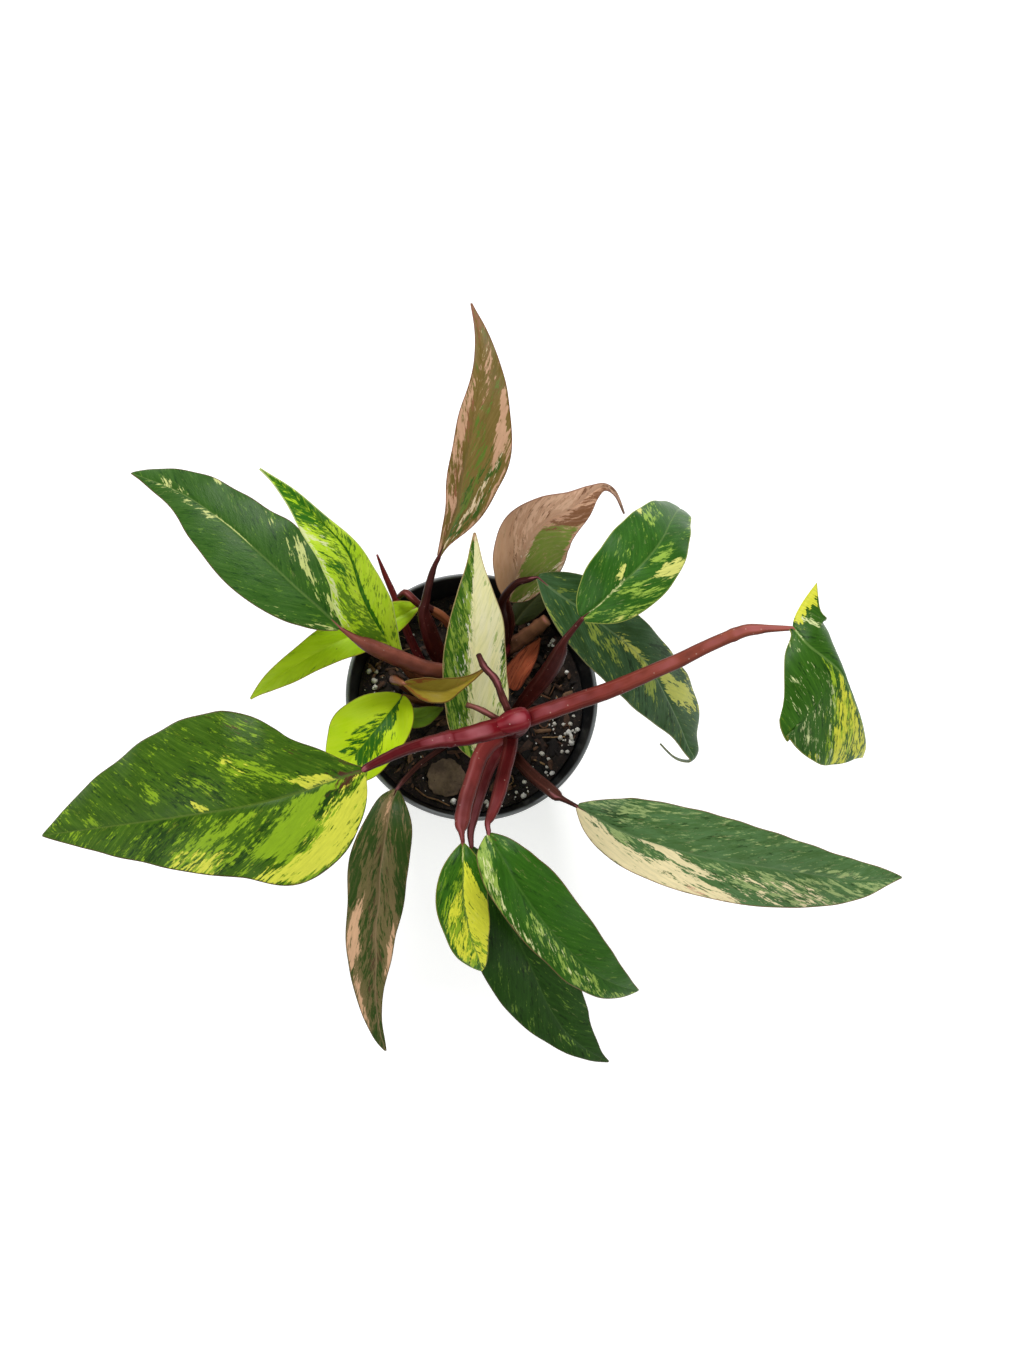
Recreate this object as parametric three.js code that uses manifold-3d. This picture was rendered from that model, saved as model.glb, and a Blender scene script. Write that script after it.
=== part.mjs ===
// Potted caramel apple philodendron in a plain black nursery pot.
// Millimetres, +Z up, +Y is the top of the picture, origin under the middle of the pot.
import * as THREE from "three";
import { mergeVertices } from "three/addons/utils/BufferGeometryUtils.js";
import Module from "manifold-3d";

const wasm = await Module();
wasm.setup();

// Pot: a four inch nursery pot
const RIM_R = 52.5;
const POT_H = 92;
const BASE_R = 37.5;
const COLLAR_Z = 84;
const COLLAR_R = 50.4;
const WALL = 1.4;
const FLOOR = 2.4;
const ROUND = 40;
const DRAIN_HOLES = 6;
const DRAIN_R = 4;
const DRAIN_RING_R = 25;

// Potting mix
const MIX_Z = 74;
const MIX_SWELL = 1.1;
const CLEAR = 0.3;
const HOLE_CLEAR = 0.45;

// Leaves
const BLADE_T = 0.7;
const TIP_HALF = 0.35;
const ALONG = [0, 0.03, 0.08, 0.15, 0.24, 0.33, 0.42, 0.52, 0.62, 0.71, 0.8, 0.88, 0.95, 1];
const ACROSS = [0, 0.52, 1];
const STATIONS = [0, 0.04, 0.125, 0.25, 0.375, 0.5, 0.625, 0.75, 0.875, 0.96, 1];
const RAD = Math.PI / 180;
const UPRIGHT = 0.97;
const RIB_STEPS = 96;
const LOBE_END = 0.35;

// Surface colours
const RED = 0x8a4046;
const DARK_RED = 0x6b3832;
const BROWN = 0x6e5040;

// A smooth curve through measured points, read at shares of its length
function curveThrough(points, shares) {
  const end = points.length - 1;
  const width = points[0].length;
  const at = (i, k) => {
    if (i < 0) return 2 * points[0][k] - points[1][k];
    if (i > end) return 2 * points[end][k] - points[end - 1][k];
    return points[i][k];
  };
  const dense = [];
  const steps = 16;
  for (let i = 0; i < end; i++) {
    for (let j = 0; j < steps; j++) {
      const t = j / steps;
      const p = [];
      for (let k = 0; k < width; k++) {
        const a = at(i - 1, k);
        const b = at(i, k);
        const c = at(i + 1, k);
        const d = at(i + 2, k);
        const square = 2 * a - 5 * b + 4 * c - d;
        const cube = 3 * b - a - 3 * c + d;
        p.push(0.5 * (2 * b + (c - a) * t + square * t * t + cube * t ** 3));
      }
      dense.push(p);
    }
  }
  dense.push(points[end].slice());
  const run = [0];
  for (let i = 1; i < dense.length; i++) {
    const d = [0, 1, 2].map((k) => dense[i][k] - dense[i - 1][k]);
    run.push(run[i - 1] + Math.hypot(...d));
  }
  const length = run[run.length - 1];
  return shares.map((share) => {
    const goal = share * length;
    let i = 1;
    while (i < run.length - 1 && run[i] < goal) i++;
    const f = Math.min(1, (goal - run[i - 1]) / (run[i] - run[i - 1]));
    return dense[i].map((v, k) => dense[i - 1][k] + (v - dense[i - 1][k]) * f);
  });
}

// A smooth value between measured stations
function valueAt(stations, values, x) {
  const n = stations.length;
  const slope = (i) => (values[i + 1] - values[i]) / (stations[i + 1] - stations[i]);
  const tangent = (i) => {
    if (n === 2) return slope(0);
    if (i === 0) return 2 * slope(0) - tangent(1);
    if (i === n - 1) return 2 * slope(n - 2) - tangent(n - 2);
    const h0 = stations[i] - stations[i - 1];
    const h1 = stations[i + 1] - stations[i];
    return (slope(i) * h0 + slope(i - 1) * h1) / (h0 + h1);
  };
  let i = 0;
  while (i < n - 2 && x >= stations[i + 1]) i++;
  const h = stations[i + 1] - stations[i];
  const t = (x - stations[i]) / h;
  const early = values[i] * (1 + 2 * t) * (1 - t) ** 2 + tangent(i) * h * t * (1 - t) ** 2;
  const late = values[i + 1] * t * t * (3 - 2 * t) + tangent(i + 1) * h * t * t * (t - 1);
  return early + late;
}

// One number, or a row of numbers spread evenly from base to tip
function spread(values, s) {
  if (!Array.isArray(values)) return values;
  return valueAt(values.map((v, i) => i / (values.length - 1)), values, s);
}

// Directions along a curve: forward, out of the face, and to the left
function framesOn(points) {
  const v = points.map((p) => new THREE.Vector3(p[0], p[1], p[2]));
  const last = v.length - 1;
  const start = v[1].clone().sub(v[0]).normalize();
  let out = Math.abs(start.z) > UPRIGHT ? new THREE.Vector3(0, 1, 0) : new THREE.Vector3(0, 0, 1);
  return v.map((p, i) => {
    const forward = v[Math.min(last, i + 1)].clone().sub(v[Math.max(0, i - 1)]).normalize();
    out = out.clone().addScaledVector(forward, -out.dot(forward)).normalize();
    const left = out.clone().cross(forward);
    return { p, forward, out: out.clone(), left };
  });
}

// Closed body from a grid of top points and a grid of bottom points
function closedSheet(top, bottom) {
  const rows = top.length;
  const cols = top[0].length;
  const positions = [];
  for (const grid of [top, bottom]) {
    for (const row of grid) for (const p of row) positions.push(p.x, p.y, p.z);
  }
  const a = (i, j) => i * cols + j;
  const b = (i, j) => rows * cols + i * cols + j;
  const index = [];
  for (let i = 0; i < rows - 1; i++) {
    for (let j = 0; j < cols - 1; j++) {
      index.push(a(i, j), a(i, j + 1), a(i + 1, j), a(i, j + 1), a(i + 1, j + 1), a(i + 1, j));
      index.push(b(i, j), b(i + 1, j), b(i, j + 1), b(i, j + 1), b(i + 1, j), b(i + 1, j + 1));
    }
  }
  for (let i = 0; i < rows - 1; i++) {
    const right = cols - 1;
    index.push(a(i, 0), a(i + 1, 0), b(i, 0), a(i + 1, 0), b(i + 1, 0), b(i, 0));
    index.push(a(i, right), b(i, right), a(i + 1, right));
    index.push(a(i + 1, right), b(i, right), b(i + 1, right));
  }
  for (let j = 0; j < cols - 1; j++) {
    const far = rows - 1;
    index.push(a(0, j), b(0, j), a(0, j + 1), a(0, j + 1), b(0, j), b(0, j + 1));
    index.push(a(far, j), a(far, j + 1), b(far, j), a(far, j + 1), b(far, j + 1), b(far, j));
  }
  const g = new THREE.BufferGeometry();
  g.setAttribute("position", new THREE.BufferAttribute(new Float32Array(positions), 3));
  g.setIndex(index);
  return g;
}

// How far a half blade reaches sideways and up after its fold and curl
function reach(fold, curl, t) {
  const f = fold * RAD;
  const c = curl * RAD;
  if (Math.abs(c) < 1e-4) return [Math.cos(f) * t, Math.sin(f) * t];
  return [(Math.sin(f + c * t) - Math.sin(f)) / c, (Math.cos(f) - Math.cos(f + c * t)) / c];
}

// A leaf blade on its midrib; left and right are half widths at the stations
function blade(leaf, thickness = BLADE_T) {
  const { rib, left, right } = leaf;
  const fold = leaf.fold ?? [10, 10];
  const curl = leaf.curl ?? [-16, -16];
  const lobe = leaf.lobe ?? [0.1, 0.1];
  const shares = Array.from({ length: RIB_STEPS + 1 }, (v, i) => i / RIB_STEPS);
  const frames = framesOn(curveThrough(rib, shares));
  const top = [];
  const bottom = [];
  for (const s of ALONG) {
    const f = frames[Math.round(s * RIB_STEPS)];
    const row = [];
    for (let k = -(ACROSS.length - 1); k < ACROSS.length; k++) {
      const side = k > 0 ? 0 : 1;
      const sign = k > 0 ? 1 : -1;
      const t = ACROSS[Math.abs(k)];
      const w = Math.max(TIP_HALF, valueAt(STATIONS, side === 0 ? left : right, s));
      const [a, h] = reach(spread(fold[side], s), spread(curl[side], s), t);
      const back = lobe[side] * w * t * Math.max(0, 1 - s / LOBE_END) ** 2;
      row.push(
        f.p
          .clone()
          .addScaledVector(f.left, sign * a * w)
          .addScaledVector(f.out, h * w)
          .addScaledVector(f.forward, -back),
      );
    }
    top.push(row.map((p) => p.clone().addScaledVector(f.out, thickness / 2)));
    bottom.push(row.map((p) => p.clone().addScaledVector(f.out, -thickness / 2)));
  }
  return closedSheet(top.map((r) => r.reverse()), bottom.map((r) => r.reverse()));
}

// A petiole, stem or root: points with a half width and a half height
function stalk(points, sides = 8, perSpan = 1.4) {
  const count = Math.max(4, Math.round((points.length - 1) * perSpan));
  const shares = Array.from({ length: count + 1 }, (v, i) => i / count);
  const read = curveThrough(points, shares);
  const frames = framesOn(read);
  const positions = [];
  const index = [];
  frames.forEach((f, i) => {
    for (let k = 0; k < sides; k++) {
      const angle = (2 * Math.PI * (k + 0.5)) / sides;
      const p = f.p
        .clone()
        .addScaledVector(f.left, Math.cos(angle) * Math.max(TIP_HALF, read[i][3]))
        .addScaledVector(f.out, Math.sin(angle) * Math.max(TIP_HALF, read[i][4]));
      positions.push(p.x, p.y, p.z);
    }
  });
  for (const f of [frames[0], frames[count]]) positions.push(f.p.x, f.p.y, f.p.z);
  const start = sides * (count + 1);
  for (let k = 0; k < sides; k++) {
    const next = (k + 1) % sides;
    for (let i = 0; i < count; i++) {
      const a = i * sides + k;
      const b = i * sides + next;
      index.push(a, b, a + sides, b, b + sides, a + sides);
    }
    index.push(start, next, k);
    index.push(start + 1, count * sides + k, count * sides + next);
  }
  const g = new THREE.BufferGeometry();
  g.setAttribute("position", new THREE.BufferAttribute(new Float32Array(positions), 3));
  g.setIndex(index);
  return g;
}

// three.js geometry to a solid and back
function solid(geometry) {
  const g = geometry.clone();
  g.deleteAttribute("normal");
  g.deleteAttribute("uv");
  const merged = mergeVertices(g, 1e-4);
  return new wasm.Manifold(
    new wasm.Mesh({
      numProp: 3,
      vertProperties: new Float32Array(merged.attributes.position.array),
      triVerts: new Uint32Array(merged.index.array),
    }),
  );
}

function geometryOf(body) {
  const m = body.getMesh();
  const positions = new Float32Array(m.numVert * 3);
  for (let i = 0; i < m.numVert; i++) {
    for (let k = 0; k < 3; k++) positions[3 * i + k] = m.vertProperties[m.numProp * i + k];
  }
  const g = new THREE.BufferGeometry();
  g.setAttribute("position", new THREE.BufferAttribute(positions, 3));
  g.setIndex(new THREE.BufferAttribute(m.triVerts, 1));
  return g;
}

function fuse(geometries) {
  return geometries.map(solid).reduce((sum, body) => sum.add(body));
}

const plant = new THREE.Group();
plant.name = "potted_philodendron";

function addPiece(name, geometry, color, roughness) {
  geometry.computeVertexNormals();
  const material = new THREE.MeshStandardMaterial({ color, roughness, metalness: 0 });
  const mesh = new THREE.Mesh(geometry, material);
  mesh.name = name;
  plant.add(mesh);
  return mesh;
}

// Pot wall, rolled rim and floor with drain holes
const wallAt = (z) => BASE_R + ((COLLAR_R - BASE_R) * z) / COLLAR_Z;
const potProfile = [
  [0, 0],
  [BASE_R - 1.2, 0],
  [wallAt(1.2), 1.2],
  [wallAt(30), 30],
  [COLLAR_R, COLLAR_Z],
  [RIM_R - 0.9, COLLAR_Z + 0.6],
  [RIM_R, POT_H - 1.4],
  [RIM_R - 0.25, POT_H - 0.4],
  [RIM_R - 0.8, POT_H],
  [RIM_R - 1.4, POT_H - 0.3],
  [RIM_R - 1.8, POT_H - 1.2],
  [COLLAR_R - 0.3, COLLAR_Z + 1.2],
  [COLLAR_R - WALL, COLLAR_Z - 1],
  [wallAt(FLOOR) - WALL, FLOOR],
  [0, FLOOR],
];
const potTurned = new THREE.LatheGeometry(
  potProfile.map(([r, z]) => new THREE.Vector2(r, z)),
  ROUND,
);
potTurned.rotateX(Math.PI / 2);
let pot = solid(potTurned);
for (let i = 0; i < DRAIN_HOLES; i++) {
  const angle = (2 * Math.PI * i) / DRAIN_HOLES;
  const drill = new THREE.CylinderGeometry(DRAIN_R, DRAIN_R, 3 * FLOOR, 16);
  drill.rotateX(Math.PI / 2);
  drill.translate(DRAIN_RING_R * Math.cos(angle), DRAIN_RING_R * Math.sin(angle), FLOOR / 2);
  pot = pot.subtract(solid(drill));
}
addPiece("pot", geometryOf(pot), 0x17191a, 0.45);

// Height of the potting mix at a place
function mixHeight(x, y) {
  const swell = Math.sin(0.11 * x + 0.6) * Math.cos(0.13 * y - 0.4);
  const lump = 0.5 * Math.sin(0.31 * x - 0.23 * y + 1.1);
  return MIX_Z + MIX_SWELL * (0.7 * swell + 0.6 * lump);
}

// Potting mix: a filled cone with an uneven top
const mixSide = (z) => wallAt(z) - WALL - CLEAR;
function mixBody() {
  const rings = [0.2, 0.4, 0.6, 0.8, 1];
  const positions = [0, 0, FLOOR + CLEAR, 0, 0, mixHeight(0, 0)];
  const index = [];
  const ring = (make) => {
    const first = positions.length / 3;
    for (let k = 0; k < ROUND; k++) positions.push(...make((2 * Math.PI * k) / ROUND));
    return first;
  };
  const topRings = rings.map((share) =>
    ring((angle) => {
      const r = share * mixSide(MIX_Z - 2);
      const x = r * Math.cos(angle);
      const y = r * Math.sin(angle);
      return [x, y, mixHeight(x, y)];
    }),
  );
  const floor = ring((angle) => {
    const r = mixSide(FLOOR + CLEAR);
    return [r * Math.cos(angle), r * Math.sin(angle), FLOOR + CLEAR];
  });
  const all = [...topRings, floor];
  for (let k = 0; k < ROUND; k++) {
    const n = (k + 1) % ROUND;
    index.push(1, all[0] + k, all[0] + n);
    for (let i = 0; i < all.length - 1; i++) {
      const a = all[i];
      const b = all[i + 1];
      index.push(a + k, b + k, a + n, a + n, b + k, b + n);
    }
    index.push(0, floor + n, floor + k);
  }
  const g = new THREE.BufferGeometry();
  g.setAttribute("position", new THREE.BufferAttribute(new Float32Array(positions), 3));
  g.setIndex(index);
  return g;
}

// Where stems stand in the mix: x, y and stem radius
const ROOTED = {
  centre: [14.5, -15.5, 4.5],
  left: [-6, 6.5, 4.5],
  right: [12.7, 21.5, 4],
  seedling: [-17, -0.5, 1.8],
  green_seedling: [-29, -5.5, 1],
  southwest: [-3, -15.5, 1.3],
};
const STEM_FOOT_Z = 64;
const DRILL_DEPTH = 30;

function stemHole([x, y, r]) {
  const drill = new THREE.CylinderGeometry(r + HOLE_CLEAR, r + HOLE_CLEAR, DRILL_DEPTH, 16);
  drill.rotateX(Math.PI / 2);
  drill.translate(x, y, STEM_FOOT_Z - 1 + DRILL_DEPTH / 2);
  return solid(drill);
}
let mix = solid(mixBody());
for (const foot of Object.values(ROOTED)) mix = mix.subtract(stemHole(foot));
addPiece("potting_mix", geometryOf(mix), 0x2b211c, 0.95);

// A rooted stem that stands in its hole
function rootedStem(foot, above) {
  const [x, y, r] = foot;
  const low = [x, y, STEM_FOOT_Z, r, r];
  const level = [x, y, MIX_Z + 3, r, r];
  return stalk([low, level, ...above], 10, 2);
}

// Petioles: x, y, z, half width, half height
const PETIOLES = {
  west_large: [
    [11, -22, 144, 4, 4], [5, -24.5, 148.5, 3.8, 3.4], [0, -26.5, 152, 3.7, 3.2],
    [-8, -29, 154, 3.3, 2.8], [-16.5, -31, 157, 2.6, 2.6], [-24.5, -33.5, 160, 2.2, 2.2],
    [-30.5, -36.5, 165, 2, 2], [-37, -40.5, 170, 1.7, 1.7], [-42, -43.8, 173.7, 1.2, 0.9],
  ],
  east_far: [
    [12, -22, 144, 3.2, 3.2], [16.5, -20.5, 149, 3.3, 3.2], [29, -16.5, 154, 3.2, 3],
    [44, -12, 161, 3, 2.8], [58, -6.5, 168, 2.7, 2.6], [65.5, -3.5, 171, 2.6, 2.4],
    [72, -0.5, 175, 2.4, 2.3], [79, 2.5, 178, 2.3, 2.2], [86, 5, 181, 2.2, 2],
    [91, 5.5, 182, 1.8, 1.8], [93.5, 5.5, 183, 1.4, 1.4], [100.2, 5.2, 185.2, 0.9, 0.8],
  ],
  south_long: [
    [12, -20.5, 123, 3, 2.6], [11, -28, 129, 2.8, 2.2], [8.5, -37, 134, 2.7, 2],
    [5.5, -47.5, 140, 2.5, 1.8], [2.5, -55.5, 144, 1.8, 1.6], [1, -58.5, 146, 1.1, 1.2],
    [1.4, -61.7, 146.9, 0.9, 0.8],
  ],
  south_small: [
    [11.5, -20, 117, 3.4, 2.6], [4, -26, 123, 3.4, 2.2], [0, -31.5, 127, 3.2, 2],
    [-2.5, -38.5, 130, 3, 2], [-6, -49.5, 134, 3, 2], [-7.5, -58, 136, 2.7, 1.6],
    [-7.5, -61, 137, 1.2, 1.2], [-7, -64.4, 137, 0.8, 0.7],
  ],
  south_dark: [
    [12.5, -18.5, 102, 3, 2.6], [8, -27.5, 107, 2.8, 2.4], [4.5, -34.5, 111, 2.4, 2],
    [1, -44.5, 116, 2.1, 1.8],
    [-1.5, -53, 119, 1.9, 1.6], [-3, -59.5, 121, 1.4, 1.3], [-2.7, -64.8, 121.9, 0.9, 0.8],
  ],
  centre_cream: [
    [14, -16.5, 79, 2.2, 2.2], [8, -23, 84, 2, 1.8], [4, -27.5, 90, 1.6, 1.5],
    [0.9, -28.5, 96.2, 0.9, 0.8],
  ],
  northeast: [
    [14.5, -15.5, 80, 2.6, 2.6], [16.5, -10.5, 85, 2.8, 2.6], [19, -6, 93, 2.9, 2.6],
    [22.5, -2, 105, 3.3, 2.4], [25, 0.5, 115, 3.5, 2.2], [27.6, 4, 127, 3.4, 2.1],
    [29, 7.2, 136, 2.8, 1.8], [29.8, 9.8, 140, 1.7, 1.6], [31.2, 12, 142.5, 1.3, 1.3],
    [35.7, 17.2, 148.4, 0.9, 0.8],
  ],
  southeast: [
    [14.5, -17, 82, 2.4, 2.2], [17, -25, 90, 2.5, 2.1], [19.5, -30.5, 98, 2.6, 2], [24, -36.5, 104, 2.8, 2],
    [28.5, -41.5, 110, 2.8, 1.8], [31.5, -44.5, 112, 2.4, 1.6], [33, -45.5, 113, 1.2, 1.2],
    [38, -48.7, 116.7, 0.8, 0.7],
  ],
  northwest: [
    [-6, 6, 84, 3, 3], [-8, 5, 96, 3.2, 3], [-13.5, 5.5, 106, 4, 3.2], [-23, 6, 112, 4.2, 3.2],
    [-31, 7.5, 118, 4.2, 3.2], [-38.5, 9, 124, 4, 3], [-44, 10.5, 128, 3, 2.6],
    [-47.5, 11.4, 131, 1.8, 1.6], [-52.9, 14.4, 133.3, 0.8, 0.7],
  ],
  northwest_lime: [
    [-7, 6, 77, 2.4, 2.4], [-13.5, 3.5, 84, 2.4, 2.4], [-22.5, 5, 92, 2.4, 2.2],
    [-28, 8, 100.5, 2, 2], [-31.3, 11.1, 107, 0.9, 0.9],
  ],
  north: [
    [-7, 6.5, 82, 3, 2.6], [-13, 12, 97, 3.6, 2.2], [-16.5, 15, 105, 3.8, 2],
    [-20, 19.5, 118, 3.6, 2], [-22.5, 23, 130, 2.6, 1.8], [-22, 25.5, 136, 1.8, 1.6],
    [-21.5, 28, 143, 1.5, 1.4], [-20.5, 31, 149, 1.4, 1.3], [-19.5, 33.5, 154, 1, 1],
    [-18.2, 35.5, 157.3, 0.8, 0.8],
  ],
  west_lime: [
    [-6, 8, 79, 1.8, 1.8], [-4, 18, 91, 1.8, 1.8], [-11.5, 27.5, 101, 2, 2],
    [-17.5, 31, 105, 1.9, 1.9], [-23.3, 32.1, 107.8, 0.9, 0.8],
  ],
  new_spike: [
    [-7, 7, 76, 1.6, 1.6], [-14, 7, 84, 1.6, 1.6], [-20.5, 12, 90, 1.8, 1.6],
    [-26, 20, 96, 2, 1.6], [-30, 28, 101, 1.7, 1.5], [-33.5, 36, 106, 1.4, 1.4],
    [-37.5, 43.5, 111, 1.1, 1.1], [-41, 50.5, 116, 0.4, 0.4],
  ],
  dry_sheath: [
    [-18, 31.2, 105.5, 1.5, 1.3], [-21, 31.5, 110, 1.6, 1.3], [-24, 31.5, 113, 1.6, 1.3],
    [-26.5, 33, 115, 1.6, 1.3], [-29.5, 35.5, 115, 1.6, 1.2], [-32, 34.5, 112, 1, 1],
  ],
  east_dark: [
    [13, 22, 80, 1.9, 1.9], [12.5, 24, 95, 1.8, 1.8], [10.5, 26, 111, 1.7, 1.7],
    [8.5, 29.5, 121, 1.6, 1.6], [9.5, 32, 129, 1.5, 1.5], [13, 34.5, 135, 1.4, 1.4],
    [17, 35, 138, 1.2, 1.2], [19.3, 35.4, 138.9, 0.8, 0.7],
  ],
  north_pink: [
    [13.5, 22.5, 80, 1.8, 1.8], [15, 27, 90, 1.7, 1.7], [14.5, 30, 101, 1.6, 1.6],
    [12.7, 31.3, 110, 1.4, 1.4], [11.6, 32.7, 117.1, 0.9, 0.8],
  ],
  shaded: [
    [14, 23, 78, 1.4, 1.4], [16, 28, 84, 1.3, 1.3], [17.3, 31.3, 87.3, 0.8, 0.8],
  ],
  small_lime: [
    [-17, -1.5, 75, 1.6, 1.6], [-22, -3.5, 88, 1.5, 1.5], [-26.5, -4, 98, 1.2, 1.2],
    [-29.1, -3.9, 102.2, 0.8, 0.7],
  ],
  curled_caramel: [
    [-17, -0.5, 76, 1.5, 1.5], [-22, -0.5, 84, 1.5, 1.5], [-27.5, 0.5, 95, 1.6, 1.6],
    [-31.5, 1.5, 107, 1.8, 1.8], [-33, -1, 118, 1.9, 1.8], [-29.7, -4.2, 126.3, 1.1, 1],
  ],
  small_green: [
    [-29.2, -5.6, 78, 0.9, 0.9], [-32.5, -8, 87, 0.9, 0.9], [-34.3, -10.2, 93.3, 0.7, 0.6],
  ],
  southwest: [
    [-3.6, -16, 78, 1.2, 1.2], [-11, -21.5, 87, 1.3, 1.3], [-21.5, -30.5, 98, 1.2, 1.2],
    [-27.5, -37.5, 104, 1.1, 1.1], [-30.7, -41.9, 106.6, 0.8, 0.7],
  ],
};

// A dried stem, two aerial roots and the three rooted stems
const TAN_STEM = [
  [12.5, 20.5, 78, 3.2, 2.6], [18, 24, 83, 3.2, 2.4], [24, 27.5, 89, 3, 2.2],
  [30.5, 32, 95, 2.6, 1.8],
];
const ROOT_LONG = [
  [9.5, -21, 147, 1.4, 1.4], [5.5, -13.5, 151, 1.3, 1.3], [3, -8, 153, 1.3, 1.3],
  [-1, -3.5, 153, 1.2, 1.2], [-3, 1.5, 151, 1.2, 1.2],
];
const ROOT_SHORT = [
  [6, -22.5, 148, 1.1, 1.1], [1, -20, 150, 1.1, 1.1], [-3, -18, 150, 1, 1],
  [-7, -16.5, 149, 0.9, 0.9],
];
const CENTRE_STEM = [
  [14, -17.5, 100, 4.3, 4.3], [12.5, -20, 125, 4.6, 4.6], [11.8, -21.8, 142, 4.8, 4.8],
  [12, -22, 149, 4.2, 4.2],
];
const LEFT_STEM = [[-6, 6.5, 84, 4.5, 4.5], [-6.5, 6.5, 89, 3.4, 3.4]];
const RIGHT_STEM = [[12.7, 21.5, 82, 4, 4], [13, 22, 86, 3, 3]];

function shoot(name, foot, stem, petioles, others, color) {
  const parts = [rootedStem(foot, stem)];
  for (const key of petioles) parts.push(stalk(PETIOLES[key]));
  for (const line of others) parts.push(stalk(line));
  addPiece(name, geometryOf(fuse(parts)), color, 0.5);
}
shoot(
  "centre_shoot",
  ROOTED.centre,
  CENTRE_STEM,
  [
    "west_large", "east_far", "south_long", "south_small", "south_dark",
    "centre_cream", "northeast", "southeast",
  ],
  [ROOT_LONG, ROOT_SHORT],
  RED,
);
shoot(
  "left_shoot",
  ROOTED.left,
  LEFT_STEM,
  ["northwest", "northwest_lime", "north", "west_lime", "new_spike", "dry_sheath"],
  [],
  DARK_RED,
);
shoot(
  "right_shoot",
  ROOTED.right,
  RIGHT_STEM,
  ["east_dark", "north_pink", "shaded"],
  [TAN_STEM],
  DARK_RED,
);
shoot(
  "seedling_stalks",
  ROOTED.seedling,
  [[-17, -0.5, 79, 1.4, 1.4]],
  ["small_lime", "curled_caramel"],
  [],
  BROWN,
);
shoot(
  "green_seedling_stalk",
  ROOTED.green_seedling,
  [[-29, -5.5, 78.5, 0.9, 0.9]],
  ["small_green"],
  [],
  BROWN,
);
shoot(
  "southwest_stalk",
  ROOTED.southwest,
  [[-3.2, -15.7, 78.5, 1.2, 1.2]],
  ["southwest"],
  [],
  BROWN,
);

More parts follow.
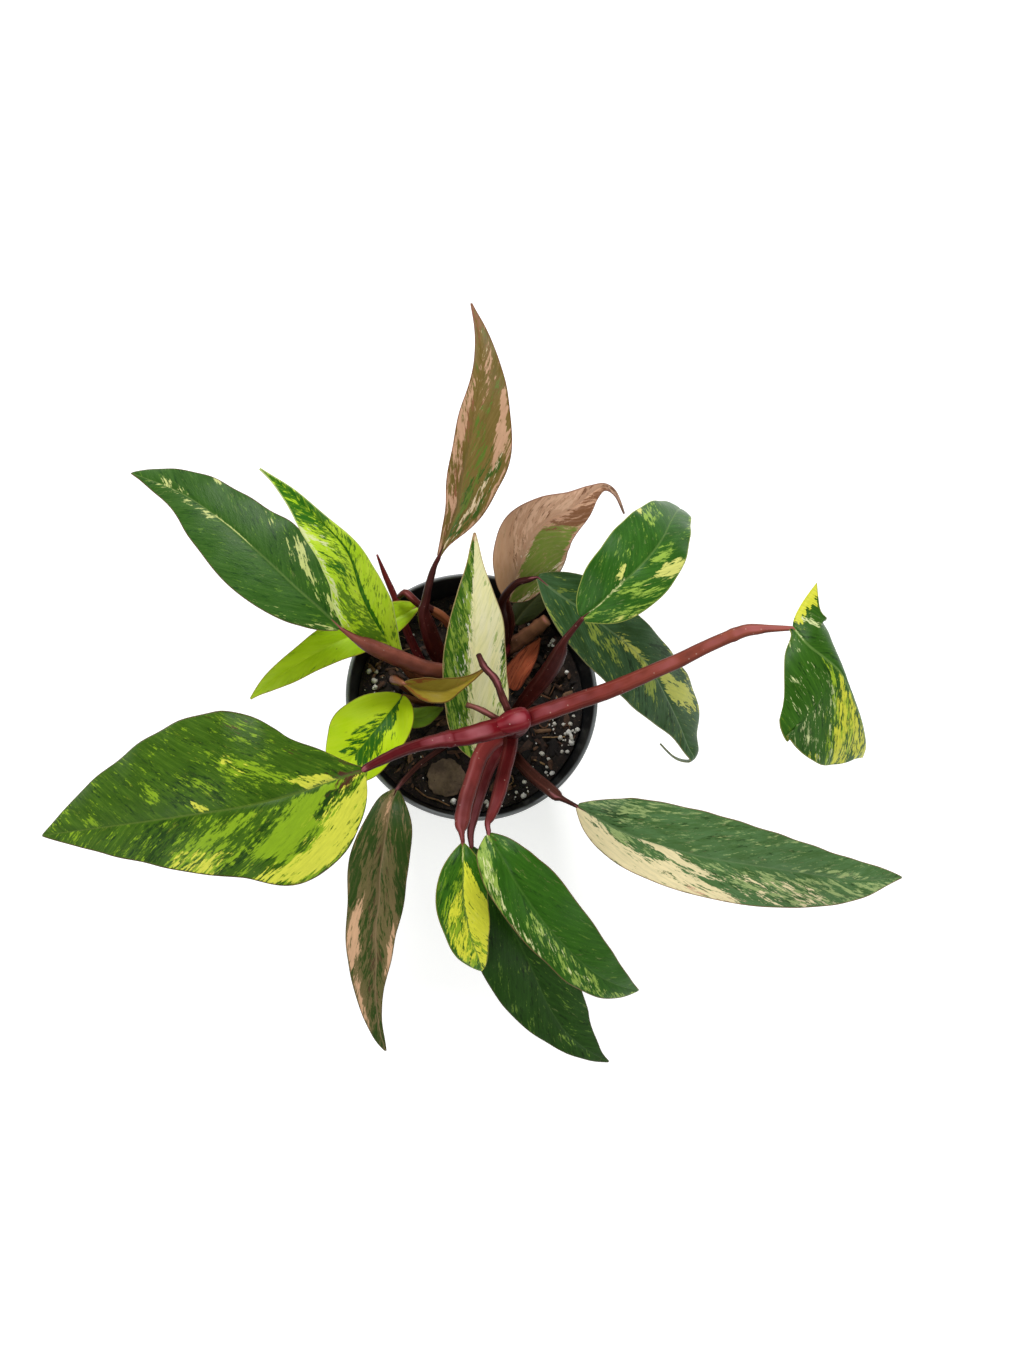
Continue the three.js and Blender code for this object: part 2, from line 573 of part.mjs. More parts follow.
// Leaf blades: midrib points, half widths at the stations, fold, curl and base lobes
const LEAVES = {
  west_large: {
    color: 0x4f7a26,
    rib: [
      [-42.5, -44.5, 174], [-52.5, -48.5, 178], [-61.5, -52.5, 181], [-70.5, -55.5, 183],
      [-81.5, -58, 182], [-92.5, -59.5, 179], [-105.5, -61, 174], [-122.5, -62.5, 165],
      [-147.5, -64.5, 151],
    ],
    left: [1.5, 9.5, 20, 27.5, 21.5, 18, 13.5, 9.5, 5, 2, 0.4],
    right: [1.5, 5, 14.5, 27, 32, 31.5, 27.5, 20.5, 12, 4, 0.4],
    fold: [6, 10],
    curl: [-16, -26],
    lobe: [0.35, 0],
  },
  northwest: {
    color: 0x43662f,
    rib: [
      [-53.6, 14.9, 133.6], [-62, 22.2, 135.5], [-70, 29, 136], [-85.5, 43.5, 135],
      [-99.5, 56, 132], [-116.5, 68.5, 127], [-137.5, 79.5, 118],
    ],
    left: [1.5, 5.5, 11, 15.5, 17, 15.5, 12.5, 7.5, 4, 1.3, 0.4],
    right: [1.5, 6, 12, 16, 17.5, 15, 13.5, 11.5, 7.5, 3.5, 0.4],
    fold: [10, 6],
    curl: [-18, -20],
  },
  northwest_lime: {
    color: 0x8fb02a,
    rib: [
      [-31.5, 11.5, 108], [-36.5, 16, 115], [-42.5, 22, 128], [-46.5, 27.5, 139],
      [-49.5, 35, 150], [-53.5, 40, 157], [-60.5, 45, 164], [-70, 52, 171], [-80.5, 58.5, 176],
    ],
    left: [1, 4.5, 9, 11.5, 13, 14, 12.5, 8.5, 3.8, 1, 0.4],
    right: [2, 3.5, 6.5, 9.5, 9.5, 6.8, 4.2, 2.8, 1.8, 0.8, 0.4],
    fold: [[-4, 8, 26, 26, 26], 22],
    curl: [-20, -16],
  },
  west_lime: {
    color: 0x7f9a14,
    rib: [
      [-24, 32, 108], [-35, 25.5, 108], [-47, 20, 109], [-58.5, 14, 110],
      [-71.5, 5.5, 110], [-81, -1, 107], [-89, -6.5, 102],
    ],
    left: [1, 2.5, 5, 7.5, 8.5, 7.5, 6.5, 5.5, 3, 1, 0.4],
    right: [1.2, 4, 7, 8.5, 8.5, 8, 6.5, 5, 3.5, 1.5, 0.4],
    fold: [10, 10],
    curl: [-12, -12],
  },
  small_lime: {
    color: 0xa8c81a,
    rib: [
      [-29.5, -4, 103], [-35, -12.5, 108], [-41, -21, 110], [-46.5, -28, 108],
      [-52, -34, 103], [-57, -39.5, 96],
    ],
    left: [1.5, 4.5, 8.5, 11.5, 12.5, 12.5, 12, 9.5, 5.5, 2.2, 0.4],
    right: [1, 4.5, 9, 13.5, 15.8, 16.3, 15, 11.5, 6, 2.5, 0.4],
    fold: [10, 6],
    curl: [-18, -20],
    lobe: [0.35, 0.2],
  },
  small_green: {
    color: 0x4c6e2c,
    rib: [[-34, -10.5, 94], [-28, -11.5, 96], [-22, -11.5, 97], [-17, -9.5, 97], [-12.5, -7, 95]],
    left: [1, 2.5, 3.7, 4.3, 4.4, 4.3, 4, 3.2, 2, 0.8, 0.4],
    right: [1, 1.8, 2.8, 3.8, 4.4, 4.4, 4, 3, 1.6, 0.7, 0.4],
    fold: [8, 8],
    curl: [-20, -20],
  },
  curled_caramel: {
    color: 0x8d7428,
    rib: [
      [-29, -4.5, 127], [-23, -6, 124], [-15.5, -6.5, 124], [-10, -5.5, 127],
      [-4.5, -3.5, 133], [0.5, -1, 141],
    ],
    left: [1.2, 3, 5, 6, 6, 5.5, 3.5, 2, 1, 0.6, 0.4],
    right: [0.6, 2, 4, 6, 6, 5.8, 4, 2.5, 1.4, 0.6, 0.4],
    fold: [30, 24],
    curl: [26, 22],
  },
  centre_cream: {
    color: 0xc9cd7e,
    rib: [
      [0.5, -28, 97], [-0.5, -19, 101], [-1, -6.5, 109], [-2, 6, 118], [-2.5, 17, 129],
      [-4, 29, 142], [-5.5, 44.5, 160],
    ],
    left: [1, 5, 9.5, 12, 12.5, 12, 10, 6.5, 3, 1.4, 0.5],
    right: [1.5, 4.5, 9.5, 13.5, 13, 12, 10.5, 7, 3.2, 1.4, 0.5],
    fold: [12, 10],
    curl: [-20, -16],
  },
  north: {
    color: 0x7d6b3c,
    rib: [
      [-18, 36, 158], [-15, 43.5, 163], [-12, 51.5, 168], [-10.5, 61.5, 172], [-8.5, 71.5, 175],
      [-7, 82, 177], [-5, 95.5, 178], [-5, 107, 178], [-6, 116.5, 177], [-8.5, 128, 174],
    ],
    left: [0.9, 1.6, 3.2, 5.5, 6, 6, 4.4, 2.8, 1.7, 0.8, 0.4],
    right: [0.7, 1.6, 6, 12, 15, 13.5, 10, 5.8, 2.5, 0.9, 0.4],
    fold: [16, 10],
    curl: [-10, -16],
  },
  north_pink: {
    color: 0xa97c60,
    rib: [
      [11.5, 33, 118], [13.5, 39.5, 127], [16, 47, 136], [19, 52.5, 144], [24, 55.5, 151],
      [32, 58.5, 156], [38, 63, 158], [43, 66, 157], [48.5, 66, 151], [54, 62, 142],
    ],
    left: [2, 5, 9, 12, 12.5, 9.5, 6, 1.8, 1.2, 0.7, 0.4],
    right: [1.5, 6, 11, 15.5, 15.5, 13, 7, 2, 1.1, 0.7, 0.4],
    fold: [10, [20, 22, 30, 30]],
    curl: [-16, -18],
    lobe: [0, 0.3],
  },
  shaded: {
    color: 0x3a4020,
    rib: [[17.5, 31.7, 87.8], [20.5, 36, 91], [25.5, 41, 94], [31, 46, 96], [36, 50, 95]],
    left: [1, 2.5, 4, 5.5, 6, 6, 5.4, 4.2, 2.4, 1, 0.4],
    right: [1, 2.5, 4, 5.5, 6, 6, 5.4, 4.2, 2.4, 1, 0.4],
  },
  northeast: {
    color: 0x43702c,
    rib: [
      [36, 17.5, 149], [41.5, 21.5, 154], [47, 26.5, 158], [53.5, 32.5, 160], [60.5, 40.5, 158],
      [66, 48.5, 154], [71, 57.5, 147], [76.5, 66, 137], [81, 71.5, 126], [83.5, 74.5, 115],
    ],
    left: [2, 6.5, 12, 15.5, 16.5, 15, 12, 8.5, 4.5, 2, 0.4],
    right: [2, 5, 11, 13.5, 12.5, 10.5, 8.5, 6.5, 4.5, 2, 0.4],
    fold: [6, 6],
    lobe: [0.5, 0.3],
  },
  east_dark: {
    color: 0x3c5a35,
    rib: [
      [20.5, 35.5, 139], [28, 29.5, 139], [37, 24.5, 137], [48, 19, 131], [58, 14, 125],
      [68.5, 7, 117], [79, -3.5, 104], [87, -12.5, 93], [92, -19.5, 86], [95.5, -23.5, 82],
      [94, -25, 79], [88, -23.5, 79], [81, -18, 82],
    ],
    left: [2, 7.5, 13, 15, 14, 15, 18, 16, 3.5, 2.2, 0.4],
    right: [1, 4.5, 12, 16.5, 18, 16.5, 11, 5, 1.5, 1.5, 0.4],
    fold: [-2, 6],
    curl: [-20, -14],
    lobe: [0.3, 0.1],
  },
  east_far: {
    color: 0x4b7034,
    rib: [
      [101.5, 5, 186], [105, -1.5, 189], [110, -5.5, 189], [116.5, -10, 187],
      [121.5, -16, 183], [127, -23, 177], [131, -28, 171], [133.5, -32, 166], [134, -35, 162],
    ],
    left: [6.5, 16.5, 16.5, 15, 11, 10, 9, 7, 5, 2, 0.4],
    right: [1.5, 2.5, 8, 24.5, 30, 29.5, 26.5, 21, 13, 5, 0.4],
    fold: [[10, 0, -28, -35, -30], 2],
    curl: [[-5, -70, -80, -60], -16],
    lobe: [1, 0.2],
  },
  southeast: {
    color: 0x4f6e42,
    rib: [
      [38.5, -49, 117], [46.5, -54.5, 121], [53.5, -58.5, 123], [65, -63, 124],
      [84.5, -68, 123], [109.5, -71.5, 119], [135.5, -74.5, 113], [155, -76, 107],
      [176, -74.5, 100],
    ],
    left: [1.5, 6.5, 13.5, 17, 17.5, 15.5, 13, 10, 7, 3, 0.4],
    right: [1, 5.5, 11, 14, 15, 15.5, 14, 11, 6, 2, 0.4],
    fold: [8, 8],
    curl: [-20, -16],
  },
  south_long: {
    color: 0x44762a,
    rib: [
      [1.5, -62.5, 147], [4.5, -68.5, 150], [7.5, -74, 151], [11.5, -80.5, 150],
      [20.5, -92, 146], [28, -99.5, 141], [36, -106.5, 135], [44.5, -112, 128],
      [53, -115.5, 121], [61.5, -117.5, 113],
    ],
    left: [1.2, 4.5, 9, 13, 13.5, 13, 11.5, 9, 5, 1.8, 0.4],
    right: [1.5, 6, 9.5, 10, 9.8, 9, 8.8, 7.6, 5.5, 2.4, 0.4],
    fold: [14, 10],
    curl: [-14, -22],
  },
  south_small: {
    color: 0x88a02a,
    rib: [
      [-7, -65, 137], [-7, -71, 139], [-7, -78, 139], [-6.5, -85, 136], [-5, -91.5, 132],
      [-3, -98, 127], [0, -104.5, 121], [2, -110, 115],
    ],
    left: [0.8, 2.7, 6, 8.5, 8.8, 8.5, 7.5, 5.7, 3.5, 1.8, 0.4],
    right: [0.8, 2.7, 6, 9, 10, 9.7, 9, 8, 6, 2.7, 0.4],
    fold: [8, 10],
    curl: [-18, -24],
  },
  south_dark: {
    color: 0x2d4a20,
    rib: [
      [-2.5, -65.5, 122], [4.5, -79, 121], [12.5, -93.5, 116], [21, -108.5, 109],
      [28.5, -122.5, 100], [37, -134, 92], [48, -142.5, 85], [56.5, -147, 79],
    ],
    left: [1, 3.5, 8, 12, 14, 15, 14.5, 12, 6, 1.7, 0.4],
    right: [1, 4.5, 11, 16.5, 17.5, 16.5, 13, 8.2, 4.5, 1.8, 0.4],
    fold: [10, 10],
    curl: [-16, -18],
  },
  southwest: {
    color: 0x6a5a3c,
    rib: [
      [-31, -42.5, 107], [-33, -48.5, 111], [-34.5, -58.5, 113], [-35.5, -66, 112],
      [-36.5, -75, 109], [-36.5, -84, 105], [-37.5, -95.5, 100], [-37, -106.5, 95],
      [-37, -118, 89], [-36, -128, 84], [-34.5, -135.5, 80], [-32.5, -142, 76],
    ],
    left: [1.3, 4.5, 9, 10.5, 10, 8.5, 6, 3.2, 1.5, 1, 0.4],
    right: [1.3, 4, 8, 12, 12, 11.5, 11, 8.2, 4.8, 2.2, 0.4],
    fold: [14, 12],
    curl: [-14, -20],
  },
};
for (const [name, leaf] of Object.entries(LEAVES)) {
  addPiece("leaf_" + name, blade(leaf), leaf.color, 0.4);
}

// The old orange leaf sheath that stands by the dried stem
const OLD_SHEATH = {
  rib: [[17, 6, 76.6], [19, 11, 79.5], [22.5, 17, 82], [26, 22, 84], [29, 26.5, 85.5]],
  left: [2, 4, 5.5, 6, 5.6, 5, 4.4, 3.4, 2, 0.8, 0.4],
  right: [2, 3.5, 4.5, 5, 5.4, 5, 4.4, 3.4, 2, 0.8, 0.4],
  fold: [14, 14],
  curl: [20, 20],
};
addPiece("old_sheath", blade(OLD_SHEATH, 0.8), 0x8d4a30, 0.6);

// A fallen dry leaf that lies on the mix
const FALLEN_LEAF_X = -10;
const FALLEN_LEAF_Y = -33;
const FALLEN_LEAF_R = 8.3;
const FALLEN_LEAF_T = 0.8;
const FALLEN_LEAF_LIFT = 0.5;
function fallenLeaf() {
  const rows = 7;
  const cols = 7;
  const top = [];
  const bottom = [];
  for (let i = 0; i < rows; i++) {
    const v = (2 * i) / (rows - 1) - 1;
    const half = Math.sqrt(Math.max(0.03, 1 - v * v));
    const a = [];
    const b = [];
    for (let j = 0; j < cols; j++) {
      const u = ((2 * j) / (cols - 1) - 1) * half;
      const x = FALLEN_LEAF_X + FALLEN_LEAF_R * u;
      const y = FALLEN_LEAF_Y - FALLEN_LEAF_R * v;
      const z = mixHeight(x, y) + FALLEN_LEAF_LIFT;
      a.push(new THREE.Vector3(x, y, z + FALLEN_LEAF_T));
      b.push(new THREE.Vector3(x, y, z));
    }
    top.push(a.reverse());
    bottom.push(b.reverse());
  }
  return closedSheet(top, bottom);
}
addPiece("fallen_leaf", fallenLeaf(), 0x5c4a38, 0.9);

export default plant;
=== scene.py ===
# %% [markdown]
# # A potted caramel apple philodendron, seen from above
# The plant is a small variegated philodendron in a thin black nursery pot. Long leaf
# stalks lean out from three short stems, and each blade is marked in its own way with
# lime, cream, pink and dark green streaks. Everything here is plain mesh code: each
# piece follows the same curve as its CAD solid, with finer forms and a procedural
# material on top. Lengths are worked out in millimetres and turned to metres at the end.

# %% Load the CAD frame
import math
import bpy
import numpy as np
from mathutils import Matrix, Vector, noise


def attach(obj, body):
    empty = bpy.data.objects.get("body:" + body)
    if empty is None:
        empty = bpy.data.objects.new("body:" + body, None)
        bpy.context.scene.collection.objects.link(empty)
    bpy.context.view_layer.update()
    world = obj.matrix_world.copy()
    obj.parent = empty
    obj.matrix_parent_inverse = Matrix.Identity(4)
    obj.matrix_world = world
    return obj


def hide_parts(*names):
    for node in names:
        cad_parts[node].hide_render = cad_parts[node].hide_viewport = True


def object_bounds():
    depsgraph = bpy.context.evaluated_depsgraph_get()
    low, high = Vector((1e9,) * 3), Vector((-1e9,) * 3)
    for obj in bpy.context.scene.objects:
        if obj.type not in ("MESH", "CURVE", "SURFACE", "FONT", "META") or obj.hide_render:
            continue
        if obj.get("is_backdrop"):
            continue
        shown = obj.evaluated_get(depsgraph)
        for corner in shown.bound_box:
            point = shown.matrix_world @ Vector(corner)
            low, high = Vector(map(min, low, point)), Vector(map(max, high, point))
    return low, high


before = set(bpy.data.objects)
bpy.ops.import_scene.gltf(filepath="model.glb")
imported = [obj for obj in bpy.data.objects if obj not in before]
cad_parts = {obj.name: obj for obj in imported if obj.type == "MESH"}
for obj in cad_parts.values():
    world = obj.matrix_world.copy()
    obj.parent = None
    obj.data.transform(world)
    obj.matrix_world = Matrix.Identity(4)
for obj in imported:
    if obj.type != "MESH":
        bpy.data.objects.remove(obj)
cad_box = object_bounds()
MM = 0.001
print("CAD nodes:", len(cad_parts))

# %% [markdown]
# ## Small helpers
# Colours are written as sRGB hex, as a colour picker gives them, and Blender's shaders
# want linear numbers, so one function turns one into the other. A second one adds a
# shader node: inputs are given in order or by name, other settings by name, and an input
# takes a value, a socket or another node. The others join bodies, and turn points and
# faces into a piece that rides on the plant and stands for its CAD node.

# %% Colour, node and piece helpers
def linear(hex_colour):
    """An sRGB hex colour as linear red, green, blue and alpha."""
    channels = [int(hex_colour[i:i + 2], 16) / 255 for i in (0, 2, 4)]
    low = [c / 12.92 if c <= 0.04045 else ((c + 0.055) / 1.055) ** 2.4 for c in channels]
    return (*low, 1.0)


def add_node(tree, kind, *values, **settings):
    """A new shader node; a value may be a number, a colour, a socket or another node."""
    made = tree.nodes.new("ShaderNode" + kind)
    wanted = list(enumerate(values))
    for name, value in settings.items():
        label = name.replace("_", " ").title()
        if label in made.inputs:
            wanted.append((label, value))
        else:
            setattr(made, name, value)
    for key, value in wanted:
        if isinstance(value, bpy.types.Node):
            value = value.outputs[0]
        if isinstance(value, bpy.types.NodeSocket):
            tree.links.new(value, made.inputs[key])
        else:
            made.inputs[key].default_value = value
    return made


def new_material(name, roughness, ior, sheen=0.5):
    """A material with one Principled shader; returns it, its node tree and the shader."""
    material = bpy.data.materials.new(name)
    material.use_nodes = True
    tree = material.node_tree
    tree.nodes.clear()
    shader = add_node(tree, "BsdfPrincipled", roughness=roughness)
    shader.inputs["IOR"].default_value = ior
    shader.inputs["Specular IOR Level"].default_value = sheen
    add_node(tree, "OutputMaterial", shader)
    return material, tree, shader


def finish_surface(tree, shader, colour, height, strength, depth_mm):
    """Links a colour and a relief of a depth in millimetres to the shader."""
    bump = add_node(tree, "Bump", height=height, strength=strength, distance=depth_mm * MM)
    tree.links.new(colour.outputs[0], shader.inputs["Base Color"])
    tree.links.new(bump.outputs[0], shader.inputs["Normal"])


def signed_volume(points, faces):
    """Six times the volume that the faces close; negative when they face inwards."""
    a = points[faces[:, 0]]
    b = points[faces[:, 1]]
    c = points[faces[:, 2]]
    d = points[faces[:, 3]]
    first = np.einsum("ij,ij->i", a, np.cross(b, c)).sum()
    return first + np.einsum("ij,ij->i", a, np.cross(c, d)).sum()


def new_mesh(name, points, faces):
    """A mesh from points in millimetres; a quad with a doubled corner is a triangle."""
    mesh = bpy.data.meshes.new(name)
    rows = [list(dict.fromkeys(f)) for f in faces.tolist()]
    mesh.from_pydata((points * MM).tolist(), [], rows)
    return mesh


def join(parts):
    """Several bodies as one: points, faces, and the coordinates that go with the points."""
    points, faces, *rest = zip(*parts)
    starts = np.cumsum([0, *map(len, points)])
    faces = [f + start for f, start in zip(faces, starts)]
    return (np.vstack(points), np.vstack(faces), *map(np.vstack, rest))


def add_piece(name, points, faces, material, nodes, attributes=None):
    """A smooth mesh piece from points in millimetres, standing for its CAD nodes."""
    points = np.asarray(points, float)
    faces = np.asarray(faces, int)
    if signed_volume(points, faces) < 0:
        faces = faces[:, ::-1]
    mesh = new_mesh(name, points, faces)
    mesh.polygons.foreach_set("use_smooth", [True] * len(mesh.polygons))
    for label, values in (attributes or {}).items():
        values = np.asarray(values, np.float32)
        kind = "FLOAT" if values.ndim == 1 else "FLOAT_VECTOR"
        key = "value" if values.ndim == 1 else "vector"
        mesh.attributes.new(label, kind, "POINT").data.foreach_set(key, values.ravel())
    mesh.materials.append(material)
    piece = bpy.data.objects.new(name, mesh)
    bpy.context.scene.collection.objects.link(piece)
    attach(piece, "root")
    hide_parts(*nodes)
    return piece


# %% [markdown]
# ## The camera
# The photographer stood over the plant with the lens tilted a little off the vertical,
# which is why the pot's rim is almost a circle. The rim's size and place in the picture
# gave the distance, the tilt and the direction; the focal length follows from them.

# %% Camera over the pot
RIM_HEIGHT = 92.0
CAMERA_DISTANCE = 440.0
CAMERA_TILT = math.radians(13)
CAMERA_TURN = math.radians(20)
CAMERA_AIM = Vector((16.0, 5.3, RIM_HEIGHT))
LENS_MM = 28.0
SENSOR_MM = 36.0
sideways = CAMERA_DISTANCE * math.sin(CAMERA_TILT)
camera_place = Vector((
    -sideways * math.sin(CAMERA_TURN),
    -sideways * math.cos(CAMERA_TURN),
    RIM_HEIGHT + CAMERA_DISTANCE * math.cos(CAMERA_TILT),
))
back = (camera_place - CAMERA_AIM).normalized()
right = Vector((0, 1, 0)).cross(back).normalized()
up = back.cross(right)
camera_data = bpy.data.cameras.new("camera")
camera_data.lens = LENS_MM
camera_data.sensor_width = SENSOR_MM
camera_data.sensor_fit = "AUTO"
camera_data.clip_start = 0.01
camera = bpy.data.objects.new("camera", camera_data)
bpy.context.scene.collection.objects.link(camera)
turned = Matrix((right, up, back)).transposed().to_4x4()
camera.matrix_world = Matrix.Translation(camera_place * MM) @ turned
bpy.context.scene.camera = camera
print("camera at", [round(v, 1) for v in camera_place], "mm")

# %% [markdown]
# ## Curves that leaves and stalks grow along
# A midrib or a stalk is given by a few points from base to tip. A smooth curve goes
# through them, and it is read at even shares of its own length, so rows of vertices come
# out evenly spaced. A little frame of three directions travels along the curve without
# twisting, so a blade keeps its face up.

# %% Curve helpers
CURVE_STEPS = 16
UPRIGHT = 0.97


def curve_through(points, shares):
    """A smooth curve through the points, read at shares of its length; and its length."""
    p = np.array(points, float)
    p = np.vstack([2 * p[0] - p[1], p, 2 * p[-1] - p[-2]])
    t = (np.arange(CURVE_STEPS) / CURVE_STEPS)[:, None]
    pieces = []
    for i in range(1, len(p) - 2):
        a, b, c, d = p[i - 1:i + 3]
        square = 2 * a - 5 * b + 4 * c - d
        cube = 3 * b - a - 3 * c + d
        pieces.append(0.5 * (2 * b + (c - a) * t + square * t ** 2 + cube * t ** 3))
    dense = np.vstack([*pieces, p[-2:-1]])
    steps = np.linalg.norm(np.diff(dense[:, :3], axis=0), axis=1)
    run = np.concatenate([[0], np.cumsum(steps)])
    goal = np.asarray(shares) * run[-1]
    columns = [np.interp(goal, run, dense[:, k]) for k in range(dense.shape[1])]
    return np.stack(columns, 1), run[-1]


def value_at(stations, values, x):
    """A smooth value between measured stations."""
    st = np.asarray(stations, float)
    v = np.asarray(values, float)
    h = np.diff(st)
    slope = np.diff(v) / h
    m = np.full(len(st), slope[0])
    if len(st) > 2:
        m[1:-1] = (slope[1:] * h[:-1] + slope[:-1] * h[1:]) / (h[:-1] + h[1:])
        m[0] = 2 * slope[0] - m[1]
        m[-1] = 2 * slope[-1] - m[-2]
    i = np.clip(np.searchsorted(st, x, side="right") - 1, 0, len(st) - 2)
    t = (x - st[i]) / h[i]
    early = v[i] * (1 + 2 * t) * (1 - t) ** 2 + m[i] * h[i] * t * (1 - t) ** 2
    late = v[i + 1] * t * t * (3 - 2 * t) + m[i + 1] * h[i] * t * t * (t - 1)
    return early + late


def spread(values, s):
    """One number, or a row of numbers spread evenly from base to tip."""
    if not isinstance(values, list):
        return np.full(len(s), float(values))
    return value_at(np.linspace(0, 1, len(values)), values, s)


def frames_on(points):
    """Directions along a curve: forward, out of the face, and to the left."""
    forward = np.gradient(points, axis=0)
    forward[0] = points[1] - points[0]
    forward[-1] = points[-1] - points[-2]
    forward /= np.linalg.norm(forward, axis=1)[:, None]
    out = np.array([0, 1.0, 0]) if abs(forward[0, 2]) > UPRIGHT else np.array([0, 0, 1.0])
    outs = np.empty_like(points)
    for i, f in enumerate(forward):
        out = out - out.dot(f) * f
        out = out / np.linalg.norm(out)
        outs[i] = out
    return forward, outs, np.cross(outs, forward)


def smooth_step(low, high, x):
    """Rises from 0 at low to 1 at high with soft ends."""
    t = np.clip((x - low) / (high - low), 0, 1)
    return t * t * (3 - 2 * t)


# %% [markdown]
# ## The form of one blade
# A philodendron blade is a thin leathery sheet, about half a millimetre thick, folded a
# little along its midrib and curling down towards its edges. It could be a flat card
# with a picture of a leaf, but a card has no fold to catch the light. Here it is a
# closed sheet of rows and columns: the rows run along the midrib, the columns are packed
# closer near it, a groove is pressed in above the midrib and a keel hangs under it.
# Each vertex also keeps where it lies on the leaf, counted along and across the side
# veins, so that the colours can later streak along the veins as the real ones do.

# %% Blade builder
STATIONS = [0, 0.04, 0.125, 0.25, 0.375, 0.5, 0.625, 0.75, 0.875, 0.96, 1]
HALF_COLUMNS = [
    0, 0.012, 0.03, 0.06, 0.11, 0.18, 0.26, 0.35, 0.45, 0.55, 0.65, 0.75, 0.84, 0.92, 0.97, 1
]
COLUMNS = np.array([-v for v in HALF_COLUMNS[:0:-1]] + HALF_COLUMNS)
ROW_MM = 0.9
TIP_HALF = 0.35
LOBE_END = 0.35
LOBE_BOW = 0.65
RIB_THICK = 0.7
EDGE_THICK = 0.35
GROOVE_DEEP = 0.32
GROOVE_HALF = 0.7
KEEL_DEEP = 0.5
KEEL_HALF = 1.0
PLEAT_DEEP = 0.035
PLEAT_MM = 3.1
WAVE_DEEP = 0.35
WAVE_MM = 17.0
WAVE_OFFSET = 1.7
VEIN_BEND = 0.35
LEAST_CURL = 1e-4
FULL_PLEAT_FROM = 3.0
FULL_WAVE_FROM = 8.0
TIP_SLIM = 0.6


def unit(vectors):
    """Vectors brought to length 1."""
    return vectors / np.linalg.norm(vectors, axis=-1, keepdims=True)


def sheet_faces(rows, cols):
    """Faces of a closed sheet whose top grid comes first and bottom grid second."""
    count = rows * cols
    grid = np.arange(count).reshape(rows, cols)
    quads = [grid[:-1, :-1], grid[:-1, 1:], grid[1:, 1:], grid[1:, :-1]]
    top = np.stack([q.ravel() for q in quads], 1)
    bottom = (top + count)[:, ::-1]
    rim = np.concatenate([grid[0, :], grid[1:, -1], grid[-1, -2::-1], grid[-2:0:-1, 0]])
    ahead = np.roll(rim, -1)
    rims = np.stack([rim, rim + count, ahead + count, ahead], 1)
    return np.vstack([top, bottom, rims])


